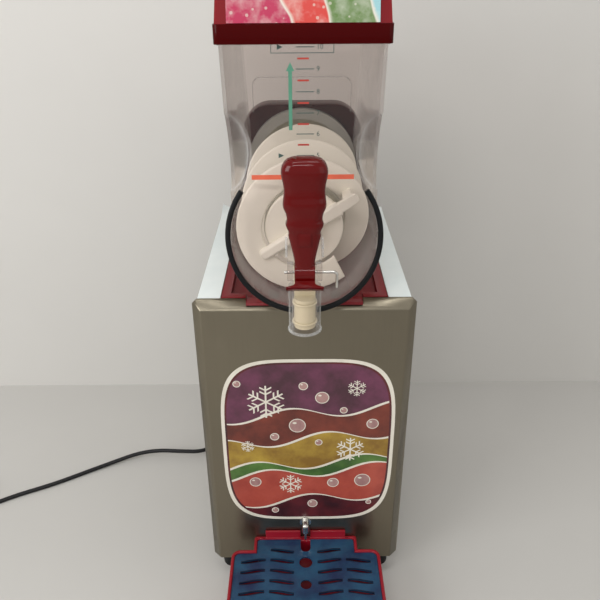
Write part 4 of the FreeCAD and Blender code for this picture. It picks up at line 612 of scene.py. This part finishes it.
def makeFrontRing(setup):
    mesh = bmesh.new()
    front = bowlFront - setup["thick"]
    loop = ringLoop(mesh, setup, front, bowlFront - setup["clear"], math.radians(setup["end"]))
    capLoop(mesh, loop)
    last = spinOn(mesh, loop, (0, 0, axisZ), (0, 1, 0), 180.0 + 2 * setup["end"], 84)
    capLoop(mesh, last)
    cut = [f for f in mesh.faces if abs(f.calc_center_median().x) < setup["gap"] and f.calc_center_median().z < axisZ]
    bmesh.ops.delete(mesh, geom=cut, context="FACES")
    bmesh.ops.holes_fill(mesh, edges=mesh.edges, sides=14)
    lean = math.tan(frontLean)      # sheared back with the bowl's front
    shear = Matrix(((1, 0, 0, 0), (0, 1, lean, -axisZ * lean), (0, 0, 1, 0), (0, 0, 0, 1)))
    addPiece("frontRing", mesh, "sealRubber", "bowl", "seal_rubber", ("front_ring",), 50.0, shear)


makeFrontRing(ring)


# the tap's handle, row by row from its hub to its crown: height above the pin, half width, half depth
handle = {"rows": [(1, 10.6, 8.6), (5, 10.4, 8.4), (8, 10.2, 8.5), (19.5, 12, 9), (33, 15.1, 10), (43.5, 17.4, 10.5),
                   (46, 16.9, 10.8), (48, 17.2, 11.4), (52, 19, 12.2), (56, 20, 12.5), (59, 19, 12.1), (61, 18.6, 12),
                   (64, 18.9, 12), (68, 19.8, 12.2), (72.5, 21.9, 13.2), (76.5, 22.6, 13.5), (80, 22.3, 13.3),
                   (83.5, 21.8, 13), (90.5, 21.1, 12.5), (95, 21.4, 12.9), (100.5, 22.3, 13.5), (105, 23.3, 14.1),
                   (109, 23.8, 14.5), (112.5, 23.7, 14.4), (115.5, 22.8, 14), (119, 20.8, 12.9), (121.8, 17.8, 11),
                   (123.4, 13.8, 8.5), (124, 8, 5)],
          "foot": [(3, 10.9), (11, 10.9), (14.5, 10.9), (16, 11.8), (17.2, 14), (18.1, 17), (18.7, 19.4),
                   (19.1, 19.9), (20, 19.9), (20.25, 19.6)],
          "footAhead": 60, "footBehind": -2.5, "hub": 0.011, "hubHalf": 0.011, "bore": 0.0016, "pull": 50,
          "noseArm": 17, "noseHalf": (10, 2.5), "square": 0.55, "shrink": 0.985}
handleLook = "handleRed", "tap_handle", "handle_red"


def makeHandle(setup):
    mesh = bmesh.new()
    loops = []
    for up, wide, deep in setup["rows"]:
        size = Matrix.Diagonal((wide / 1000, deep / 1000, 1.0)).to_4x4()
        place = Matrix.Translation((0, pinY, pinZ + up / 1000)) @ size
        made = bmesh.ops.create_circle(mesh, segments=40, radius=1.0, matrix=place)
        for vert in made["verts"]:      # a squarer section than an ellipse
            across, along = vert.co.x * 1000 / wide, (vert.co.y - pinY) * 1000 / deep
            grow = (1.0 + setup["square"] * (across * along) ** 2) * setup["shrink"]
            vert.co.x *= grow
            vert.co.y = pinY + (vert.co.y - pinY) * grow
        loops.append(list({e for v in made["verts"] for e in v.link_edges}))
    for lower, upper in zip(loops, loops[1:]):
        bmesh.ops.bridge_loops(mesh, edges=lower + upper)
    capLoop(mesh, loops[0])
    capLoop(mesh, loops[-1])
    addPiece("tapHandle", mesh, *handleLook, ("tap_handle",), 60.0)

    mesh = bmesh.new()
    right = [(wide, -r) for r, wide in setup["foot"]]
    outline = right + [(-x, z) for x, z in reversed(right)]
    turn = math.radians(setup["footBehind"])
    points = [Vector((x / 1000, -z / 1000 * math.sin(turn), z / 1000 * math.cos(turn))) for x, z in outline]
    loop = profileLoop(mesh, [pin + p for p in points])
    capLoop(mesh, loop)
    angle = -(setup["footAhead"] + setup["footBehind"])
    capLoop(mesh, spinOn(mesh, loop, pin, (1, 0, 0), angle, 20))
    addPiece("handleFoot", mesh, *handleLook)

    mesh = bmesh.new()
    hub, half, bore = setup["hub"], setup["hubHalf"], setup["bore"]
    shape = [(bore, -half), (hub - 0.001, -half), (hub, -half + 0.001), (hub, half - 0.001), (hub - 0.001, half),
             (bore, half)]
    spinOn(mesh, profileLoop(mesh, [(x, pinY, pinZ + r) for r, x in shape]), pin, (1, 0, 0), 360.0, 40)
    addPiece("handleHub", mesh, *handleLook)

    mesh = bmesh.new()
    wide, thick = setup["noseHalf"]
    roundBox(mesh, (-wide, 0.0, -thick), (wide, setup["noseArm"] + thick, thick), 2.4, 4)
    tilt = Matrix.Translation(pin) @ Matrix.Rotation(math.radians(-setup["pull"] / 2), 4, "X")
    addPiece("handleNose", mesh, *handleLook, placed=tilt)


makeHandle(handle)


# the small inlay on the front of the grip, just under the finger grooves
inlay = {"half": (7.2, 8), "up": 41, "ahead": 10.9, "thick": 0.6, "frame": 0.9, "deep": 4, "edge": 0.5}


def makeInlay(setup):
    mesh = bmesh.new()
    wide, high = setup["half"]
    for inset, front in ((0.0, 0.0), (setup["frame"], setup["thick"])):
        across, ahead, rise = wide - inset, setup["ahead"], high - inset
        roundBox(mesh, (-across, -ahead - front, setup["up"] - rise),
                 (across, setup["deep"] - ahead, setup["up"] + rise), setup["edge"], 2, pin)
    addPiece("handleInlay", mesh, *handleLook)


makeInlay(inlay)
print("auger, ring and handle made")


# moulded and folded CAD pieces get the small rounds that catch the light: width, finish, body and slot, and for
# the folded panel the steepest edge that is rounded
softened = {
    "lid_frame": (0.0011, "lidRed", "lid", "red_clear"),
    "drip_tray": (0.0010, "trayRed", "drip_tray", "red_plastic"),
    "deck": (0.0010, "deckRed", "cabinet", "red_plastic"),
    "rear_housing": (0.0012, "housingRed", "cabinet", "red_plastic"),
    "housing_cover": (0.0010, "housingRed", "cabinet", "red_plastic"),
    "front_panel": (0.0013, "cabinetSteel", "cabinet", "steel", 60.0),
    "bowl": (0.0007, "clearPlastic", "bowl", "clear"),
    "switch_plate": (0.0004, "blackPlastic", "cabinet", "black_plastic"),
}


def softenEdges(node, width, finish, body, slot, steepest=180.0, flattest=32.0):
    mesh = bmesh.new()
    mesh.from_mesh(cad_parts[node].data)
    bmesh.ops.remove_doubles(mesh, verts=mesh.verts, dist=0.00001)
    bmesh.ops.dissolve_limit(mesh, angle_limit=math.radians(0.4), verts=mesh.verts, edges=mesh.edges)
    least, most = math.radians(flattest), math.radians(steepest)
    corners = [e for e in mesh.edges if len(e.link_faces) == 2 and least < e.calc_face_angle(0.0) <= most]
    bmesh.ops.bevel(mesh, geom=corners, offset=width, segments=2, profile=0.5, affect="EDGES", clamp_overlap=True,
                    material=-1)
    first, *rest = node.split("_")
    addPiece(first + "".join(w.capitalize() for w in rest) + "Rounded", mesh, finish, body, slot, (node,), 50.0)


for node, setup in softened.items():
    softenEdges(node, *setup)
print("edges rounded")


# thin flat pieces: prints, labels and ridges, drawn in millimetres on a plane of the machine
facePlane = ((0, faceY, 0), (1, 0, 0), (0, 0, 1))
hopperPlane = ((0, bowlFront, axisZ), (1, 0, 0), (0, math.tan(frontLean), 1))


def flatPiece(name, outlines, plane, lift, thick, finish, body, slot):
    origin, across, up = (Vector(v) for v in plane)
    away = across.cross(up).normalized()
    mesh = bmesh.new()
    for outline in outlines:
        verts = [mesh.verts.new(origin + across * a / 1000 + up * b / 1000 + away * lift / 1000) for a, b in outline]
        raiseFaces(mesh, [mesh.faces.new(verts)], away * thick / 1000)
    addPiece(name, mesh, finish, body, slot)


def oval(x, z, halfWide, halfHigh, square=2.0, steps=56):
    # an oval, squarer as square grows, from its top to the left and on round
    points = []
    for k in range(steps):
        turn = 2 * math.pi * k / steps
        c, d = -math.sin(turn), math.cos(turn)
        points.append((x + math.copysign(abs(c) ** (2 / square), c) * halfWide,
                       z + math.copysign(abs(d) ** (2 / square), d) * halfHigh))
    return points


def strip(x0, x1, z0, z1):
    return [(x0, z0), (x1, z0), (x1, z1), (x0, z1)]


def crystal(x, z, reach, wide):
    # one outline round six arms, each with two pairs of side twigs
    right, length = [(wide * 1.75, -wide)], reach * 0.3
    for at in (0.45, 0.7):
        along, base, low = reach * at, reach * at + 2.1 * wide, -wide - length * 0.866
        right += [(along, -wide), (along + length * 0.5, low), (base + length * 0.5, low), (base, -wide)]
    right += [(reach, -wide)]
    arm, found = right + [(u, -v) for u, v in reversed(right)], []
    for k in range(6):
        turn = math.radians(60 * k + 30)
        c, d = math.cos(turn), math.sin(turn)
        found += [(x + u * c - v * d, z + u * d + v * c) for u, v in arm]
    return found


# the front label: a squarish field of wave bands, with ice crystals and bubbles rising through it
label = {"middle": (4, 243), "half": (113, 134), "square": 4.2, "border": 4.5, "line": 2.6,
         "ground": "labelPlum", "paper": 0.14, "ink": 0.02, "rise": 9, "waves": 1.6, "slant": 0.09, "between": 1.3,
         "bands": [(52, "labelBrick"), (10, "labelYellow"), (-32, "labelGreen"), (-47, "labelRose"),
                   (-96, "labelCherry")],
         "crystals": [(-54, 70, 25, 1.1), (56, -8, 19, 0.9), (-24, -68, 16, 0.8), (62, 90, 12, 0.6),
                      (-80, -2, 9, 0.5)],
         "bubbles": [(-6, 94, 6), (18, 76, 9), (46, 56, 5), (-14, 32, 11), (-44, 14, 6), (14, 4, 5), (-72, -64, 8),
                     (34, -66, 8), (74, -62, 11), (84, 34, 8), (-90, 98, 5), (6, -104, 7), (-46, -116, 5),
                     (84, -102, 4)]}


def makeLabel(middle, half, square, border, line, ground, paper, ink, rise, waves, slant, between, bands, crystals,
              bubbles):
    x, z = middle
    wide, high = half

    def place(name, outlines, lift, thick, finish):
        moved = [[(x + a, z + b) for a, b in outline] for outline in outlines]
        flatPiece(name, moved, facePlane, lift, thick, finish, "cabinet", "printed_sheet")

    def wave(across, level):
        turn = waves * math.pi * across / wide + level * 0.05
        return level + rise * math.sin(turn) + slant * across

    inner = border + line
    reach, depth = wide - inner - 0.1, high - inner - 0.1

    def below(level):
        # the part of the field under a wave, down both sides and along the wave's crest
        def side(height):
            return reach * max(0.0, 1 - abs(height / depth) ** square) ** (1 / square)

        def edge(way):
            top = level
            for _ in range(12):
                top = wave(way * side(top), level)
            heights = [top + (-depth - top) * math.sin(math.pi / 2 * k / 60) for k in range(61)]
            return [(way * side(height), height) for height in heights]
        left, right = edge(-1), edge(1)
        across = [right[0][0] + (left[0][0] - right[0][0]) * k / 60 for k in range(1, 60)]
        return left[:-1] + right[:0:-1] + right[:1] + [(a, wave(a, level)) for a in across]

    def field(name, inset, *rest):
        place(name, [oval(0, 0, wide - inset, high - inset, square, 96)], *rest)

    field("labelBack", 0, 0.0, paper, "labelCream")
    field("labelLine", border, paper, 0.03, "labelCherry")
    field("labelField", inner, paper + 0.03, 0.03, ground)
    lift = paper + 0.06
    for count, (level, finish) in enumerate(bands):
        place("labelEdge%d" % count, [below(level + between)], lift, ink, "labelCream")
        place("labelBand%d" % count, [below(level - between)], lift + ink, ink, finish)
        lift += 2 * ink
    place("labelCrystals", [crystal(*spec) for spec in crystals], lift, 0.03, "labelCream")
    discs, middles, glints = [], [], []
    for a, b, r in bubbles:
        discs.append(oval(a, b, r, r, steps=40))
        middles.append(oval(a, b, r - 1.1, r - 1.1, steps=40))
        glints.append(oval(a - r * 0.32, b + r * 0.38, r * 0.24, r * 0.15, steps=16))
    place("labelBubbles", discs, lift, ink, "labelCream")
    place("labelBubbleMiddles", middles, lift + ink, ink, "labelBubble")
    place("labelGlints", glints, lift + 2 * ink, ink, "labelCream")


makeLabel(**label)


# the scale on the hopper's front and the fill line
scale = {"long": [735, 714, 692, 671, 650, 628], "numbers": "10 9 8 7 6 5".split(),
         "short": [724, 703, 681, 660, 639], "numberSize": 7, "numberPlace": 13.5, "ink": 0.1,
         "arrow": [(-15.6, 654), (-11.8, 654), (-11.8, 712), (-9.4, 712), (-13.7, 720.5), (-18, 712), (-15.6, 712)],
         "fill": (-56.5, 54, 603, 608),
         "box": [(-33.5, 31.5, 729, 729.7), (-33.5, -32.8, 729.72, 737.5), (30.8, 31.5, 729.72, 737.5)]}


def makeScale(long, numbers, short, numberSize, numberPlace, ink, arrow, fill, box):
    base = axisZ * 1000

    def place(name, outlines, finish):
        raised = [[(x, z - base) for x, z in outline] for outline in outlines]
        flatPiece(name, raised, hopperPlane, 0.0, ink, finish, "bowl", "printed_sheet")

    place("scaleLong", [strip(-7.6, 10.9, z - 0.45, z + 0.45) for z in long], "scaleInk")
    place("scaleShort", [strip(-6.3, 5.7, z - 0.9, z + 0.9) for z in short], "scaleRed")
    place("scaleArrow", [arrow], "scaleGreen")
    place("fillLine", [strip(*fill)], "levelRed")
    pointers = [[(-21, z), (-27, z + 2.6), (-27, z - 2.6)] for z in (long[0], long[-1])]
    place("scalePointers", pointers + [strip(*side) for side in box], "scaleInk")

    mesh = bmesh.new()
    origin, across, up = (Vector(v) for v in hopperPlane)
    stand = Matrix.Rotation(math.radians(90.0) - frontLean, 4, "X")
    for height, number in zip(long, numbers):
        text = bpy.data.curves.new("number", "FONT")
        text.body, text.align_y = number, "CENTER"
        text.size, text.extrude = numberSize / 1000, ink / 2000
        written = bpy.data.objects.new("number", text)
        shape = bpy.data.meshes.new_from_object(written)
        spot = origin + across * numberPlace / 1000 + up * (height - base) / 1000
        shape.transform(Matrix.Translation(spot + Vector((0, -ink / 2000, 0))) @ stand)
        mesh.from_mesh(shape)
        bpy.data.objects.remove(written)
        bpy.data.curves.remove(text)
        bpy.data.meshes.remove(shape)
    addPiece("scaleNumbers", mesh, "scaleInk", "bowl", "printed_sheet")


makeScale(**scale)


# the ridge moulded in the hopper's rear wall
ridge = {"half": 72, "top": 666, "low": 615, "corner": 12, "wide": 1.6, "y": 0.1990, "thick": 0.9}
rimLook = "clearRim", "bowl", "clear"


def makeRidge(half, top, low, corner, wide, y, thick):
    line = [(-half, low)]
    for side, first in ((-1, 180), (1, 90)):
        for turn in range(first, first - 91, -10):
            reach = math.radians(turn)
            line.append((side * (half - corner) + corner * math.cos(reach), top - corner + corner * math.sin(reach)))
    line.append((half, low))
    inside = [(a * (1 - wide / half), b - wide * (b > low)) for a, b in reversed(line)]
    flatPiece("hopperRidge", [line + inside], ((0, y, 0), (1, 0, 0), (0, 0, 1)), 0.0, thick, *rimLook)


makeRidge(**ridge)


# pale sheets on the cabinet's steel flanges, a painted reflection of the bright ceiling on their tops; the left one
# curls up at its rear corner
film = {"inner": 0.1012, "outer": 0.1286, "front": -0.0865, "rear": 0.2362, "top": 0.4540, "thick": 0.0002,
        "loose": 0.045, "lifts": {"sheenLeft": 0.009, "sheenRight": 0.002}}


def makeFlangeSheens(inner, outer, front, rear, top, thick, loose, lifts):
    for name, side in (("sheenLeft", -1), ("sheenRight", 1)):
        mesh = bmesh.new()
        near, far = sorted((side * inner, side * outer))
        cube(mesh, (near, front, top), (far, rear, top + thick))
        lengthwise = [e for e in mesh.edges if abs(e.verts[0].co.y - e.verts[1].co.y) > 0.1]
        bmesh.ops.subdivide_edges(mesh, edges=lengthwise, cuts=50, use_grid_fill=True)
        crosswise = [e for e in mesh.edges if abs(e.verts[0].co.x - e.verts[1].co.x) > 0.02]
        bmesh.ops.subdivide_edges(mesh, edges=crosswise, cuts=5, use_grid_fill=True)
        for vert in mesh.verts:
            back = (vert.co.y - (rear - loose)) / loose
            out = (abs(vert.co.x) - inner) / (outer - inner)
            vert.co.z += lifts[name] * max(0.0, back + out - 1.0) ** 2
        addPiece(name, mesh, "paleSheen", "cabinet", "grille_film")


makeFlangeSheens(**film)
print("label, scale and films made")


# a nearly black ring round each of the grille's slots, painted shade where the open slots fall into shadow
slots = {"columns": [(-89, -56.5, 4), (-48.5, -17, -4), (17, 48.5, 4), (56.5, 89, -4)],
         "first": -141, "pitch": 17.2, "rows": 5, "half": 2, "around": 1.3, "top": 74, "thick": 0.12}


def makeSlotShadeRings(columns, first, pitch, rows, half, around, top, thick):
    mesh = bmesh.new()
    for row in range(-1, rows):
        for x0, x1, rise in columns if row >= 0 else columns[1:3]:
            loops = []
            for grow in (0.0, around):
                there, back = [], []
                for k in range(13):
                    share = k / 12
                    x = x0 - grow * 0.6 + (x1 - x0 + grow * 1.2) * share
                    y = first - row * pitch + rise * math.sin(math.pi * (share - 0.5)) / 2
                    taper = half * (0.45 + 0.55 * math.sin(math.pi * share)) + grow
                    there.append((x / 1000, (y + taper) / 1000, top / 1000))
                    back.append((x / 1000, (y - taper) / 1000, top / 1000))
                loops += profileLoop(mesh, there + back[::-1])
            raiseFaces(mesh, bmesh.ops.bridge_loops(mesh, edges=loops)["faces"], (0, 0, thick / 1000))
    addPiece("slotShadeRings", mesh, "paintedSlotShade", "drip_grille", "grille_film")


makeSlotShadeRings(**slots)


# the flared lip at the tap tube's open end, and the steps moulded on the outside of its two ears
tapTrim = {"lip": [(17.7, 441), (18.7, 441), (19.3, 441.5), (19.3, 442.3), (18.6, 443.2), (18.1, 444.4),
                   (17.7, 444.4)],
           "steps": [(11.5, 17.5), (21, 27)], "inner": 18.4, "outer": 20.8, "front": 12.4, "back": 34, "edge": 0.6}


def makeTapTrim(setup):
    mesh = bmesh.new()
    loop = profileLoop(mesh, [(r / 1000, tubeY, z / 1000) for r, z in setup["lip"]])
    spinOn(mesh, loop, (0, tubeY, 0), (0, 0, 1), 360.0, 64)
    addPiece("tubeLip", mesh, *rimLook)
    mesh = bmesh.new()
    for low, high in setup["steps"]:
        for side in (-1, 1):
            near, far = sorted((side * setup["inner"], side * setup["outer"]))
            roundBox(mesh, (near, setup["front"], low), (far, setup["back"], high), setup["edge"], 2, pin)
    addPiece("earSteps", mesh, *rimLook)


makeTapTrim(tapTrim)
print("slot edges and tap trim made")


# the ribbed sleeve round the cord where it leaves the cabinet
sleeve = {"place": (-0.085, 0.237, 0.062), "outline": [(0, 10), (2.2, 10), (3, 9.2), (3, 7.8)], "ribs": 6,
          "first": 4.6, "pitch": 3.3, "start": 7.6, "end": 4.7, "groove": 0.9, "bore": 3.5}


def makeSleeve(place, outline, ribs, first, pitch, start, end, groove, bore):
    profile = list(outline)
    for count in range(ribs):
        along = first + pitch * count
        share = count / (ribs - 1)
        radius = start + (end - start) * share
        low = radius - groove
        profile += [(along - 0.5, radius), (along, low), (along + 1.0, low), (along + 1.5, radius - 0.25)]
    tip = profile[-1][0] + 2.0
    profile += [(tip - 0.6, end), (tip, end - 0.6), (tip, bore), (0.0, bore)]
    x, y, z = place
    mesh = bmesh.new()
    loop = profileLoop(mesh, [(x, y + along / 1000, z + radius / 1000) for along, radius in profile])
    spinOn(mesh, loop, (x, y, z), (0, 1, 0), 360.0, 40)
    addPiece("cordSleeve", mesh, "blackPlastic", "cabinet", "black_plastic", ("strain_relief",), 40.0)


makeSleeve(**sleeve)


# counter, wall and light, which aren't part of the machine
setting = {"wallY": 0.396, "counter": (190, 188, 184), "wall": (206, 204, 200), "reach": 3.0, "wallHeight": 2.4}


def matt(shade, colour, oneSided):
    cloud = noise(shade, objectPlace(shade), 3.0, 4.0, 0.6)
    base = mixColour(shade, cloud, shaded(colour, 0.96), shaded(colour, 1.03))
    shader = principled(shade, base, 0.75)
    if not oneSided:
        return shader
    behind = shade.add("NewGeometry", output=6)
    return shade.add("MixShader", {0: behind, 1: shader, 2: shade.add("BsdfTransparent")})


def makeStage(setup):
    def sheet(name, colour, corners, oneSided):
        mesh = bmesh.new()
        mesh.faces.new([mesh.verts.new(c) for c in corners])
        data = bpy.data.meshes.new(name)
        mesh.to_mesh(data)
        mesh.free()
        data.materials.append(makeFinish(name, matt, [colour], {"oneSided": oneSided}))
        linked(name, data)
    far, wall, high = setup["reach"], setup["wallY"], setup["wallHeight"]
    sheet("counter", setup["counter"], [(-far, -far, 0), (far, -far, 0), (far, far, 0), (-far, far, 0)], False)
    sheet("wall", setup["wall"], [(-far, wall, 0), (far, wall, 0), (far, wall, high), (-far, wall, high)], True)


makeStage(setting)

# each lamp's place, size and power
lampAim = Vector((0, 0, 0.4))
lamps = {
    "nearTube": ((-0.2, -1.6, 1.95), (1.2, 0.1), 8.5),
    "farTube": ((0.1, -0.25, 1.9), (1.3, 0.1), 5.25),
    "window": ((-1.7, -1.3, 1.3), (1.2, 1.4), 26.0),
    "fill": ((1.6, -1.2, 0.9), (1.4, 1.4), 3.0),
    "behind": ((0.5, 1.8, 1.6), (1.6, 1.2), 12.0),
}
for name, (place, size, power) in lamps.items():
    light = bpy.data.lights.new(name, "AREA")
    light.shape = "RECTANGLE"
    light.size, light.size_y = size
    light.energy = power
    made = linked(name, light)
    made.location = place
    made.rotation_euler = (lampAim - made.location).to_track_quat("-Z", "Y").to_euler()

room = {"light": (0.86, 0.88, 0.9, 1.0), "strength": 0.55, "seen": (0.62, 0.61, 0.59, 1.0)}


def makeWorld(setup):
    world = bpy.data.worlds.new("room")
    scene.world = world
    world.use_nodes = True
    world.node_tree.nodes.clear()
    shade = ShaderMath(world.node_tree)
    seen, glossy, through = (shade.add("LightPath", output=k) for k in (0, 3, 8))
    shown = shade.step("MAXIMUM", shade.step("MAXIMUM", seen, glossy), through)
    lit = shade.add("Background", {"Color": setup["light"], "Strength": setup["strength"]})
    plain = shade.add("Background", {"Color": setup["seen"], "Strength": 1.0})
    shade.add("OutputWorld", {"Surface": shade.add("MixShader", {0: shown, 1: lit, 2: plain})})


makeWorld(room)
print("stage set")
